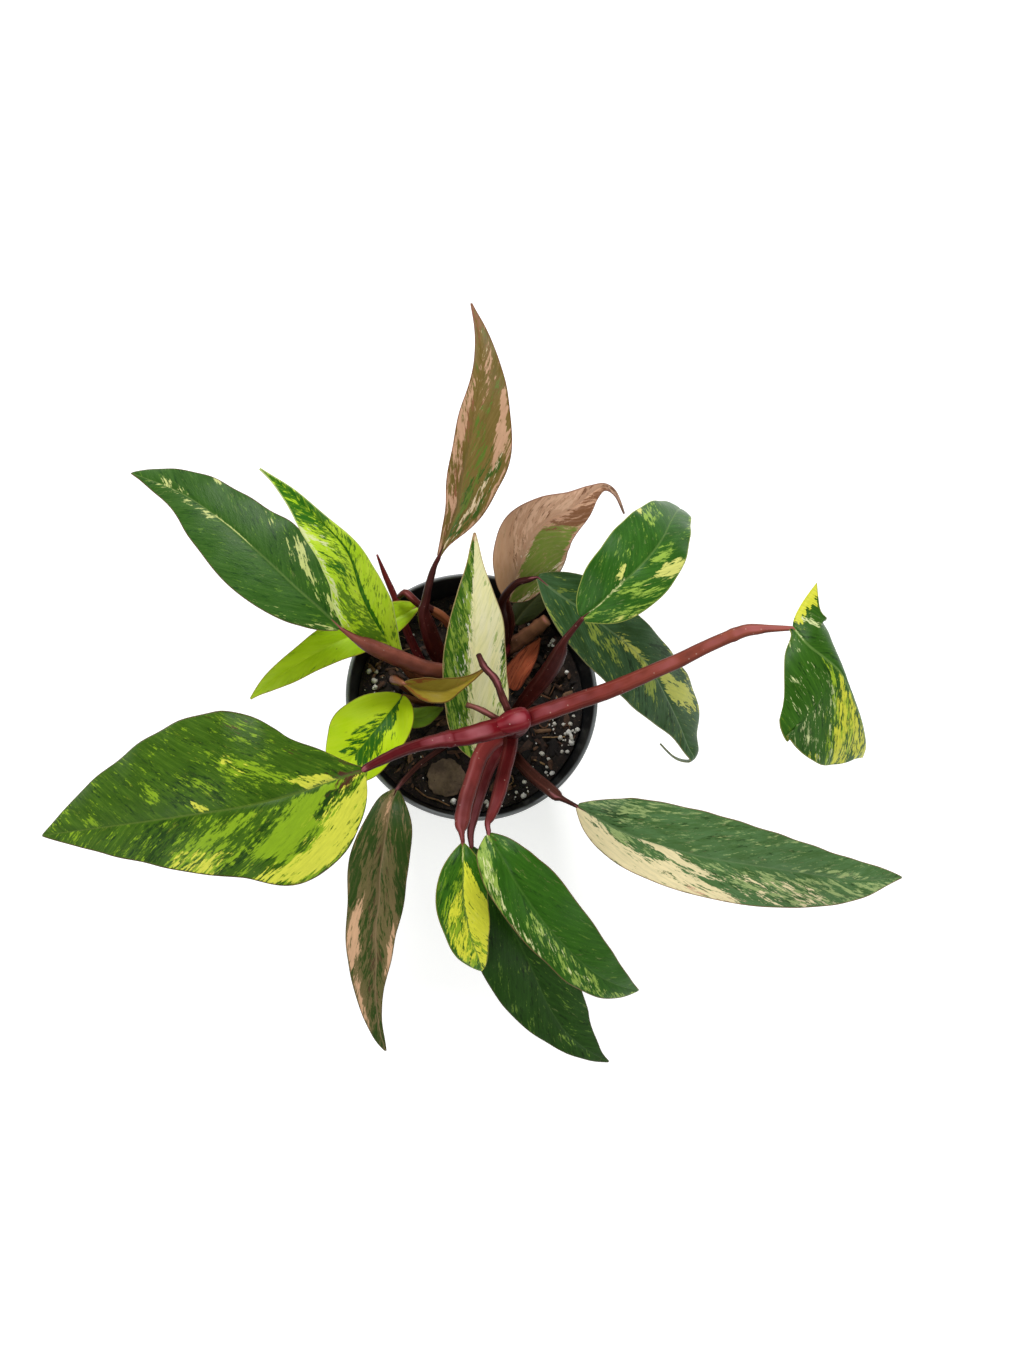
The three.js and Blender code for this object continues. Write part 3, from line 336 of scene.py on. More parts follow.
def blade(leaf, marks=()):
    """Points, faces and per-vertex leaf coordinates of one blade, in millimetres."""
    length = curve_through(leaf["rib"], [0, 1])[1]
    rows = int(math.ceil(length / ROW_MM)) + 1
    s = np.linspace(0, 1, rows)
    rib = curve_through(leaf["rib"], s)[0]
    forward, out, left = frames_on(rib)
    fold = leaf.get("fold", [10, 10])
    curl = leaf.get("curl", [-16, -16])
    lobe = leaf.get("lobe", [0.1, 0.1])
    sweep = leaf.get("sweep", 1.2)
    middle = np.empty((rows, len(COLUMNS), 3))
    away = np.empty((rows, len(COLUMNS)))
    width = np.empty_like(away)
    vein = np.empty_like(away)
    for j, share in enumerate(COLUMNS):
        side = 0 if share > 0 else 1
        t = abs(share)
        half = value_at(STATIONS, leaf["right" if side else "left"], s)
        half = np.maximum(TIP_HALF, half)
        f = np.radians(spread(fold[side], s))
        c = np.radians(spread(curl[side], s))
        c = np.where(np.abs(c) < LEAST_CURL, LEAST_CURL, c)
        across = (np.sin(f + c * t) - np.sin(f)) / c * half
        lift = (np.cos(f) - np.cos(f + c * t)) / c * half
        shift = lobe[side] * half * t ** LOBE_BOW * np.maximum(0, 1 - s / LOBE_END) ** 2
        across = across * (1 if share > 0 else -1)
        middle[:, j] = (
            rib + left * across[:, None] + out * lift[:, None] - forward * shift[:, None]
        )
        away[:, j] = half * t
        width[:, j] = half
        leaning = sweep * away[:, j] + VEIN_BEND * away[:, j] ** 2 / half.max()
        vein[:, j] = s * length - shift - leaning
    normal = unit(np.cross(np.gradient(middle, axis=1), np.gradient(middle, axis=0)))
    facing = np.einsum("ijk,ik->ij", normal, out)
    normal *= np.where(facing < 0, -1, 1)[..., None]
    share = np.abs(COLUMNS)[None, :]
    side_sign = np.where(COLUMNS > 0, 1.0, -1.0)[None, :] + 0 * away
    slant = 1 / math.hypot(1, sweep)
    across_veins = vein * slant
    pleat = PLEAT_DEEP * np.sin(2 * math.pi * across_veins / PLEAT_MM)
    pleat *= np.clip(away / FULL_PLEAT_FROM, 0, 1) * (1 - share ** 4)
    turn = 2 * math.pi * s[:, None] * length / WAVE_MM
    wave = WAVE_DEEP * share ** 2 * np.sin(turn + WAVE_OFFSET * side_sign)
    wave *= np.clip(width / FULL_WAVE_FROM, 0, 1) * np.sin(math.pi * s[:, None]) ** 0.5
    slim = (1 - TIP_SLIM * s)[:, None]
    groove = GROOVE_DEEP * slim * np.exp(-((away / GROOVE_HALF) ** 2))
    keel = KEEL_DEEP * slim * np.exp(-((away / KEEL_HALF) ** 2))
    half_thick = 0.5 * (RIB_THICK + (EDGE_THICK - RIB_THICK) * share ** 1.5 + 0 * away)
    shape = pleat + wave
    top = middle + normal * (shape + half_thick - groove)[..., None]
    bottom = middle + normal * (shape - half_thick - keel)[..., None]
    rim = width * (1 - share)
    along_veins = away / slant
    place = {
        "veins": np.stack([across_veins, along_veins, side_sign], -1),
        "edge": np.stack([away * side_sign, rim, s[:, None] + 0 * away], -1),
    }
    for layer in ("light", "deep"):
        place[layer] = np.zeros((rows, len(COLUMNS), 3))
    q = vein / length
    for mark in marks:
        tint, which, q_low, q_high, t_low, t_high, strength = mark[:7]
        soft = mark[7] if len(mark) > 7 else MARK_SOFT
        inside = smooth_step(q_low - soft, q_low + soft, q)
        inside = inside * (1 - smooth_step(q_high - soft, q_high + soft, q))
        soft_t = 2.0 * soft
        inside = inside * smooth_step(t_low - soft_t, t_low + soft_t, share + 0 * away)
        inside = inside * (1 - smooth_step(t_high - soft_t, t_high + soft_t, share + 0 * away))
        if which == "left":
            inside = inside * (COLUMNS > 0)
        elif which == "right":
            inside = inside * (COLUMNS <= 0)
        layer, channel = TINT_PLACE[tint]
        target = place[layer][..., channel]
        if strength < 0:
            target *= 1 + strength * inside
        else:
            np.maximum(target, strength * inside, out=target)
    attributes = {k: np.concatenate([v.reshape(-1, 3)] * 2) for k, v in place.items()}
    count = rows * len(COLUMNS)
    attributes["under"] = np.concatenate([np.zeros(count), np.ones(count)])
    points = np.concatenate([top.reshape(-1, 3), bottom.reshape(-1, 3)])
    return points, sheet_faces(rows, len(COLUMNS)), attributes


# %% [markdown]
# ## Where the colours sit on a blade
# Variegation is made while the leaf grows: a cell that lost its green passes that on to
# its daughters, so the pale areas are streaks and sectors that run out along the side
# veins. Each mark below is such a sector, placed from the photograph. It says
# its tint, the side of the leaf as seen from base to tip, where on the midrib its first
# and last veins leave (as a share of the midrib), how far out it starts and ends (as a
# share of the half width), and how full it is: 1 is solid, 0.3 is a few flecks, and a
# number below zero takes the tint away again. An eighth number says how soft its ends are.

# %% Tints of a mark
MARK_SOFT = 0.05
TINT_PLACE = {
    "lime": ("light", 0),
    "cream": ("light", 1),
    "pink": ("light", 2),
    "dark": ("deep", 0),
    "yellow": ("deep", 1),
    "brown": ("deep", 2),
}

# %% [markdown]
# ## The leaf surface
# A philodendron leaf is a waxy, leathery sheet. The wax gives it a soft, broad gloss
# (roughness about 0.35; plant wax refracts at 1.45, and its reflection is set low,
# because the photograph shows deep greens with little glare). The side veins show as
# fine paler lines, and the midrib is a pale line in a shallow groove. The mark weights
# from the vertices are compared with a streaky noise, so a mark breaks up into crisp
# flecks along the veins where it is thin, and closes up where it is full.

# %% Leaf material
STREAK_WIDE_MM = 3.0
STREAK_LONG_MM = 9.5
FLECK_WIDE_MM = 0.85
FLECK_LONG_MM = 3.2
GRAIN_LOW = 0.26
HAIR_WIDE_MM = 0.7
HAIR_LONG_MM = 9.0
VEIN_MM = 2.3
HAIR_SHARE = 0.35
FLECK_SHARE = 0.5
THIN_TINT = 0.22
THIN_DARK = 0.02
VEIN_HALF = 0.16
SIDES_APART = 13.0
VEIN_SHARE = 0.16
WAX_IOR = 1.45
LEAF_SHEEN = 0.13
# How crisp the border of each tint is, in the order in which the tints lie on each other
TINT_CRISP = {"dark": 3.5, "lime": 3.8, "brown": 3.2, "pink": 4.0, "yellow": 5.0, "cream": 5.0}


def streaks(tree, u, v, side, wide, long, seed, detail=3.0):
    """Noise from 0 to 1 that is stretched along the side veins."""
    place = add_node(
        tree, "CombineXYZ",
        add_node(tree, "Math", u, wide, operation="DIVIDE"),
        add_node(tree, "Math", v, long, operation="DIVIDE"),
        add_node(tree, "Math", side, SIDES_APART, seed, operation="MULTIPLY_ADD"),
    )
    field = add_node(tree, "TexNoise", place, scale=1.0, detail=detail, roughness=0.68)
    return add_node(tree, "MapRange", field, 0.3, 0.7, 0.04, 0.96)


def leaf_material(name, tones, rib_line, roughness=0.36, seed=0.0):
    """Waxy leaf tissue in its own tones."""
    material, tree, shader = new_material(name, roughness, WAX_IOR, LEAF_SHEEN)
    read = {}
    for label in ("veins", "edge", "light", "deep"):
        vector = add_node(tree, "Attribute", attribute_name=label).outputs["Vector"]
        read[label] = add_node(tree, "SeparateXYZ", vector).outputs
    under = add_node(tree, "Attribute", attribute_name="under").outputs["Fac"]
    u, v, side = read["veins"]
    across, rim, along = read["edge"]
    weights = dict(zip(("lime", "cream", "pink"), read["light"]))
    weights.update(zip(("dark", "yellow", "brown"), read["deep"]))
    cloud = streaks(tree, u, v, side, 5.0, 12.0, seed + 3.1)
    colour = add_node(tree, "MixRGB", cloud, linear(tones["base"]), linear(tones["second"]))
    hairs = streaks(tree, u, v, side, HAIR_WIDE_MM, HAIR_LONG_MM, seed + 31.0, 4.0)
    hazy = add_node(tree, "MapRange", hairs, 0.5, 1.0, 0.0, HAIR_SHARE)
    colour = add_node(tree, "MixRGB", hazy, colour, linear(tones["vein"]))
    for order, (tint, crisp) in enumerate(TINT_CRISP.items()):
        if tint not in tones:
            continue
        broad = streaks(
            tree, u, v, side, STREAK_WIDE_MM, STREAK_LONG_MM, seed + 7.3 * order, 6.0
        )
        flecks = streaks(
            tree, u, v, side, FLECK_WIDE_MM, FLECK_LONG_MM, seed + 5.7 * order, 4.0
        )
        some = add_node(tree, "Math", broad, 1 - FLECK_SHARE, operation="MULTIPLY")
        blend = add_node(tree, "Math", flecks, FLECK_SHARE, some, operation="MULTIPLY_ADD")
        grain = add_node(tree, "MapRange", blend, GRAIN_LOW, 1 - GRAIN_LOW)
        gap = add_node(tree, "Math", weights[tint], grain, operation="SUBTRACT")
        inside = add_node(
            tree, "Math", gap, crisp, 0.1, operation="MULTIPLY_ADD", use_clamp=True
        )
        thin = THIN_DARK if tint in ("dark", "brown") else THIN_TINT
        deeper = add_node(tree, "Math", flecks, thin, operation="MULTIPLY")
        toned = add_node(tree, "MixRGB", deeper, linear(tones[tint]), linear(tones["base"]))
        colour = add_node(tree, "MixRGB", inside, colour, toned)
    veins_on = add_node(tree, "Math", u, VEIN_MM, operation="DIVIDE")
    phase = add_node(tree, "Math", veins_on, operation="FRACT")
    ridge = add_node(tree, "Math", phase, 0.5, VEIN_HALF, operation="COMPARE")
    faint = add_node(tree, "Math", ridge, cloud, operation="MULTIPLY")
    veined = add_node(tree, "Math", faint, VEIN_SHARE, operation="MULTIPLY")
    from_rib = add_node(tree, "Math", across, operation="ABSOLUTE")
    rib_half = add_node(tree, "MapRange", along, 0.0, 1.0, 0.55, 0.2)
    rib_place = add_node(tree, "Math", from_rib, rib_half, operation="DIVIDE")
    on_rib = add_node(tree, "MapRange", rib_place, 0.6, 1.25, rib_line, 0.0)
    rim_line = add_node(tree, "MapRange", rim, 0.15, 0.5, 0.8, 0.0)
    below = add_node(tree, "Math", under, 0.6, operation="MULTIPLY")
    shares = {"vein": veined, "rib": on_rib, "rim": rim_line, "under": below}
    for tone, share in shares.items():
        colour = add_node(tree, "MixRGB", share, colour, linear(tones[tone]))
    fine = streaks(tree, u, v, side, 0.6, 1.2, seed + 21.0, 2.0)
    finish_surface(tree, shader, colour, fine, 0.35, 0.12)
    rough = add_node(tree, "MapRange", cloud, 0.0, 1.0, roughness - 0.05, roughness + 0.08)
    tree.links.new(rough.outputs[0], shader.inputs["Roughness"])
    return material


# %% [markdown]
# ## Where each blade runs
# A blade is given by the points of its midrib from base to tip, and by how wide its left
# and right halves are at eleven stations, all in millimetres. Fold says how steeply a
# half rises from the midrib and curl how far it bends down again, both in degrees. Sweep
# says how far the side veins lean forward, and lobe how full the two base lobes are.

# %% Leaves: midrib, half widths, sweep, fold, curl and lobes
LEAVES = {
    "west_large": {
        "rib": [
            (-42.5, -44.5, 174), (-52.5, -48.5, 178), (-61.5, -52.5, 181), (-70.5, -55.5, 183),
            (-81.5, -58, 182), (-92.5, -59.5, 179), (-105.5, -61, 174), (-122.5, -62.5, 165),
            (-147.5, -64.5, 151),
        ],
        "left": [1.5, 9.5, 20, 27.5, 21.5, 18, 13.5, 9.5, 5, 2, 0.4],
        "right": [1.5, 5, 14.5, 27, 32, 31.5, 27.5, 20.5, 12, 4, 0.4],
        "sweep": 1, "fold": [6, 10], "curl": [-16, -26], "lobe": [0.35, 0],
    },
    "northwest": {
        "rib": [
            (-53.6, 14.9, 133.6), (-62, 22.2, 135.5), (-70, 29, 136), (-85.5, 43.5, 135),
            (-99.5, 56, 132), (-116.5, 68.5, 127), (-137.5, 79.5, 118),
        ],
        "left": [1.5, 5.5, 11, 15.5, 17, 15.5, 12.5, 7.5, 4, 1.3, 0.4],
        "right": [1.5, 6, 12, 16, 17.5, 15, 13.5, 11.5, 7.5, 3.5, 0.4],
        "sweep": 1.3, "fold": [10, 6], "curl": [-18, -20],
    },
    "northwest_lime": {
        "rib": [
            (-31.5, 11.5, 108), (-36.5, 16, 115), (-42.5, 22, 128), (-46.5, 27.5, 139), (-49.5, 35, 150),
            (-53.5, 40, 157), (-60.5, 45, 164), (-70, 52, 171), (-80.5, 58.5, 176),
        ],
        "left": [1, 4.5, 9, 11.5, 13, 14, 12.5, 8.5, 3.8, 1, 0.4],
        "right": [2, 3.5, 6.5, 9.5, 9.5, 6.8, 4.2, 2.8, 1.8, 0.8, 0.4],
        "sweep": 1.8, "fold": [[-4, 8, 26, 26, 26], 22], "curl": [-20, -16],
    },
    "west_lime": {
        "rib": [
            (-24, 32, 108), (-35, 25.5, 108), (-47, 20, 109), (-58.5, 14, 110), (-71.5, 5.5, 110),
            (-81, -1, 107), (-89, -6.5, 102),
        ],
        "left": [1, 2.5, 5, 7.5, 8.5, 7.5, 6.5, 5.5, 3, 1, 0.4],
        "right": [1.2, 4, 7, 8.5, 8.5, 8, 6.5, 5, 3.5, 1.5, 0.4],
        "sweep": 2, "fold": [10, 10], "curl": [-12, -12],
    },
    "small_lime": {
        "rib": [
            (-29.5, -4, 103), (-35, -12.5, 108), (-41, -21, 110), (-46.5, -28, 108), (-52, -34, 103),
            (-57, -39.5, 96),
        ],
        "left": [1.5, 4.5, 8.5, 11.5, 12.5, 12.5, 12, 9.5, 5.5, 2.2, 0.4],
        "right": [1, 4.5, 9, 13.5, 15.8, 16.3, 15, 11.5, 6, 2.5, 0.4],
        "sweep": 1.2, "fold": [10, 6], "curl": [-18, -20], "lobe": [0.35, 0.2],
    },
    "small_green": {
        "rib": [
            (-34, -10.5, 94), (-28, -11.5, 96), (-22, -11.5, 97), (-17, -9.5, 97), (-12.5, -7, 95),
        ],
        "left": [1, 2.5, 3.7, 4.3, 4.4, 4.3, 4, 3.2, 2, 0.8, 0.4],
        "right": [1, 1.8, 2.8, 3.8, 4.4, 4.4, 4, 3, 1.6, 0.7, 0.4],
        "sweep": 1.5, "fold": [8, 8], "curl": [-20, -20],
    },
    "curled_caramel": {
        "rib": [
            (-29, -4.5, 127), (-23, -6, 124), (-15.5, -6.5, 124), (-10, -5.5, 127), (-4.5, -3.5, 133),
            (0.5, -1, 141),
        ],
        "left": [1.2, 3, 5, 6, 6, 5.5, 3.5, 2, 1, 0.6, 0.4],
        "right": [0.6, 2, 4, 6, 6, 5.8, 4, 2.5, 1.4, 0.6, 0.4],
        "sweep": 2, "fold": [30, 24], "curl": [26, 22],
    },
    "centre_cream": {
        "rib": [
            (0.5, -28, 97), (-0.5, -19, 101), (-1, -6.5, 109), (-2, 6, 118), (-2.5, 17, 129),
            (-4, 29, 142), (-5.5, 44.5, 160),
        ],
        "left": [1, 5, 9.5, 12, 12.5, 12, 10, 6.5, 3, 1.4, 0.5],
        "right": [1.5, 4.5, 9.5, 13.5, 13, 12, 10.5, 7, 3.2, 1.4, 0.5],
        "sweep": 2.6, "fold": [12, 10], "curl": [-20, -16],
    },
    "north": {
        "rib": [
            (-18, 36, 158), (-15, 43.5, 163), (-12, 51.5, 168), (-10.5, 61.5, 172), (-8.5, 71.5, 175),
            (-7, 82, 177), (-5, 95.5, 178), (-5, 107, 178), (-6, 116.5, 177), (-8.5, 128, 174),
        ],
        "left": [0.9, 1.6, 3.2, 5.5, 6, 6, 4.4, 2.8, 1.7, 0.8, 0.4],
        "right": [0.7, 1.6, 6, 12, 15, 13.5, 10, 5.8, 2.5, 0.9, 0.4],
        "sweep": 2.6, "fold": [16, 10], "curl": [-10, -16],
    },
    "north_pink": {
        "rib": [
            (11.5, 33, 118), (13.5, 39.5, 127), (16, 47, 136), (19, 52.5, 144), (24, 55.5, 151),
            (32, 58.5, 156), (38, 63, 158), (43, 66, 157), (48.5, 66, 151), (54, 62, 142),
        ],
        "left": [2, 5, 9, 12, 12.5, 9.5, 6, 1.8, 1.2, 0.7, 0.4],
        "right": [1.5, 6, 11, 15.5, 15.5, 13, 7, 2, 1.1, 0.7, 0.4],
        "sweep": 1.8, "fold": [10, [20, 22, 30, 30]], "curl": [-16, -18], "lobe": [0, 0.3],
    },
    "shaded": {
        "rib": [
            (17.5, 31.7, 87.8), (20.5, 36, 91), (25.5, 41, 94), (31, 46, 96), (36, 50, 95),
        ],
        "left": [1, 2.5, 4, 5.5, 6, 6, 5.4, 4.2, 2.4, 1, 0.4],
        "right": [1, 2.5, 4, 5.5, 6, 6, 5.4, 4.2, 2.4, 1, 0.4],
        "sweep": 1.5,
    },
    "northeast": {
        "rib": [
            (36, 17.5, 149), (41.5, 21.5, 154), (47, 26.5, 158), (53.5, 32.5, 160), (60.5, 40.5, 158),
            (66, 48.5, 154), (71, 57.5, 147), (76.5, 66, 137), (81, 71.5, 126), (83.5, 74.5, 115),
        ],
        "left": [2, 6.5, 12, 15.5, 16.5, 15, 12, 8.5, 4.5, 2, 0.4],
        "right": [2, 5, 11, 13.5, 12.5, 10.5, 8.5, 6.5, 4.5, 2, 0.4],
        "sweep": 1.3, "fold": [6, 6], "lobe": [0.5, 0.3],
    },
    "east_dark": {
        "rib": [
            (20.5, 35.5, 139), (28, 29.5, 139), (37, 24.5, 137), (48, 19, 131), (58, 14, 125),
            (68.5, 7, 117), (79, -3.5, 104), (87, -12.5, 93), (92, -19.5, 86), (95.5, -23.5, 82),
            (94, -25, 79), (88, -23.5, 79), (81, -18, 82),
        ],
        "left": [2, 7.5, 13, 15, 14, 15, 18, 16, 3.5, 3.4, 0.5],
        "right": [1, 4.5, 12, 16.5, 18, 16.5, 11, 5, 2.2, 3, 0.5],
        "sweep": 1.4, "fold": [-2, 6], "curl": [-20, -14], "lobe": [0.3, 0.1],
    },
    "east_far": {
        "rib": [
            (101.5, 5, 186), (105, -1.5, 189), (110, -5.5, 189), (116.5, -10, 187), (121.5, -16, 183),
            (127, -23, 177), (131, -28, 171), (133.5, -32, 166), (134, -35, 162),
        ],
        "left": [17.4, 13, 14.6, 15, 11, 10, 9, 7, 5, 2, 0.4],
        "right": [1.5, 2.5, 10, 30, 31, 29.5, 26.5, 21, 13, 5, 0.4],
        "sweep": 1.3, "fold": [[10, 0, -28, -35, -30], 2], "curl": [[-5, -70, -80, -60], -16],
        "lobe": [0.62, 0.2],
    },
    "southeast": {
        "rib": [
            (38.5, -49, 117), (46.5, -54.5, 121), (53.5, -58.5, 123), (65, -63, 124), (84.5, -68, 123),
            (109.5, -71.5, 119), (135.5, -74.5, 113), (155, -76, 107), (176, -74.5, 100),
        ],
        "left": [1.5, 6.5, 13.5, 17, 17.5, 15.5, 13, 10, 7, 3, 0.4],
        "right": [1, 5.5, 11, 14, 15, 15.5, 14, 11, 6, 2, 0.4],
        "sweep": 2.4, "fold": [8, 8], "curl": [-20, -16],
    },
    "south_long": {
        "rib": [
            (1.5, -62.5, 147), (4.5, -68.5, 150), (7.5, -74, 151), (11.5, -80.5, 150), (20.5, -92, 146),
            (28, -99.5, 141), (36, -106.5, 135), (44.5, -112, 128), (53, -115.5, 121),
            (61.5, -117.5, 113),
        ],
        "left": [1.2, 4.5, 9, 13, 13.5, 13, 11.5, 9, 5, 1.8, 0.4],
        "right": [1.5, 6, 9.5, 10, 9.8, 9, 8.8, 7.6, 5.5, 2.4, 0.4],
        "sweep": 1.9, "fold": [14, 10], "curl": [-14, -22],
    },
    "south_small": {
        "rib": [
            (-7, -65, 137), (-7, -71, 139), (-7, -78, 139), (-6.5, -85, 136), (-5, -91.5, 132),
            (-3, -98, 127), (0, -104.5, 121), (2, -110, 115),
        ],
        "left": [0.8, 2.7, 6, 8.5, 8.8, 8.5, 7.5, 5.7, 3.5, 1.8, 0.4],
        "right": [0.8, 2.7, 6, 9, 10, 9.7, 9, 8, 6, 2.7, 0.4],
        "sweep": 1.8, "fold": [8, 10], "curl": [-18, -24],
    },
    "south_dark": {
        "rib": [
            (-2.5, -65.5, 122), (4.5, -79, 121), (12.5, -93.5, 116), (21, -108.5, 109),
            (28.5, -122.5, 100), (37, -134, 92), (48, -142.5, 85), (56.5, -147, 79),
        ],
        "left": [1, 3.5, 8, 12, 14, 15, 14.5, 12, 6, 1.7, 0.4],
        "right": [1, 4.5, 11, 16.5, 17.5, 16.5, 13, 8.2, 4.5, 1.8, 0.4],
        "sweep": 1.9, "fold": [10, 10], "curl": [-16, -18],
    },
    "southwest": {
        "rib": [
            (-31, -42.5, 107), (-33, -48.5, 111), (-34.5, -58.5, 113), (-35.5, -66, 112),
            (-36.5, -75, 109), (-36.5, -84, 105), (-37.5, -95.5, 100), (-37, -106.5, 95), (-37, -118, 89),
            (-36, -128, 84), (-34.5, -135.5, 80), (-32.5, -142, 76),
        ],
        "left": [1.3, 4.5, 9, 10.5, 10, 8.5, 6, 3.2, 1.5, 1, 0.4],
        "right": [1.3, 4, 8, 12, 12, 11.5, 11, 8.2, 4.8, 2.2, 0.4],
        "sweep": 2.8, "fold": [14, 12], "curl": [-14, -20],
    },
}

# %% [markdown]
# ## The tones of each leaf
# No two leaves share their greens, so each has a palette of its own, matched one by one:
# the ground tone and a second one that clouds it, the midrib, the rim, the veins and the
# underside, and after these the tints that its marks use.

# %% Leaf tones
PLAIN_TONES = ("base", "second", "rib", "rim", "vein", "under")


def tones_of(plain, **tints):
    """The six plain tones of a leaf from one line of hex colours, and its tints by name."""
    return {**dict(zip(PLAIN_TONES, plain.split())), **tints}


TONES = {
    "west_large": tones_of(
        "2c4c08 3e620e 6c7c34 5c3426 6a8a24 6c8a3c",
        lime="86a81e", yellow="d4d648", dark="1c3a0a", brown="4a2c1c",
    ),
    "northwest": tones_of(
        "2c5214 38601f a4b86c 6c4434 587c34 6c8a3c",
        lime="8cb43a", cream="ccd284", dark="1e4412",
    ),
    "northwest_lime": tones_of(
        "b0dc18 d0ec40 4c7c1c d0d88c b0d040 aac44c",
        cream="e6ecae", dark="2e6c12", brown="5c861c",
    ),
    "west_lime": tones_of(
        "8cae0c a4c416 b0c42c 9a8230 a9c230 94a83c",
        dark="5c8410", brown="4a4a14",
    ),
    "small_lime": tones_of(
        "bce00c cce824 9cc02c 7c5c30 cbe83c b0c848",
        dark="2c6612",
    ),
    "small_green": tones_of(
        "5e7c1a 749426 7c9c3c 5c4428 6c943c 6c8a3c",
        lime="84ac34",
    ),
    "curled_caramel": tones_of(
        "8c7a24 9c8a32 a8984c 5c3a1e a8943c 8c7a34",
        brown="8a5228", pink="a8843c",
    ),
    "centre_cream": tones_of(
        "fffad0 fbf6ae d0d488 c0a46c b4bc5c c0c47c",
        dark="346404", lime="86a81c", pink="d49c80", cream="fffbe0",
    ),
    "north": tones_of(
        "5e5220 786232 94784a 744030 8c7844 94704c",
        lime="567026", dark="36561a", pink="c49a7c", brown="84583c", cream="dcc4a0",
    ),
    "north_pink": tones_of(
        "bc8e70 cca486 caa88c 7c5040 c9a48c 94705a",
        brown="7c5438", lime="68842c", dark="44621c", pink="dcb496", cream="ecd8bc",
    ),
    "shaded": tones_of(
        "32381a 283016 4c4c28 3c2c20 3c4424 3c3c24",
    ),
    "northeast": tones_of(
        "24500e 306018 94b060 a4ac54 4c8428 6c8a3c",
        lime="98b848", yellow="dcdc78", cream="e0e0a0", dark="1a400c",
    ),
    "east_dark": tones_of(
        "284418 3c5c38 88a070 8c8858 587c50 647a4c",
        lime="94a444", yellow="c0c258", dark="1a3414",
    ),
    "east_far": tones_of(
        "264c0c 325e14 8cac5c 8c8c40 4e7e20 7c9444",
        lime="9cb82c", yellow="d8d83e", cream="d4dc9c", dark="1a3c08",
    ),
    "southeast": tones_of(
        "3e5e2a 547848 84986c 8c6448 64845a 748a58",
        lime="9cb070", cream="f0e0b0", pink="dcb090", brown="84603c", dark="26421a",
    ),
    "south_long": tones_of(
        "244e0a 305e12 6c9040 74583a 467a1c 6c8a3c",
        lime="94b04c", cream="d8dc9c", pink="d0a888", dark="1a3e08", brown="5a3a1c",
    ),
    "south_small": tones_of(
        "285408 346412 a4b84c 8c8438 649424 7c984c",
        lime="90b024", yellow="e6e640", cream="e8e8a0", dark="1c4208",
    ),
    "south_dark": tones_of(
        "1c3a0a 264812 527434 4c4028 38601c 587038",
        lime="7c9c3c", cream="d4d890", dark="142c06",
    ),
    "southwest": tones_of(
        "5e5c34 7c6a48 9c8064 4c4024 8c7854 80684c",
        pink="d8ac88", dark="2e4616", brown="54402a", lime="6c7a30",
    ),
}

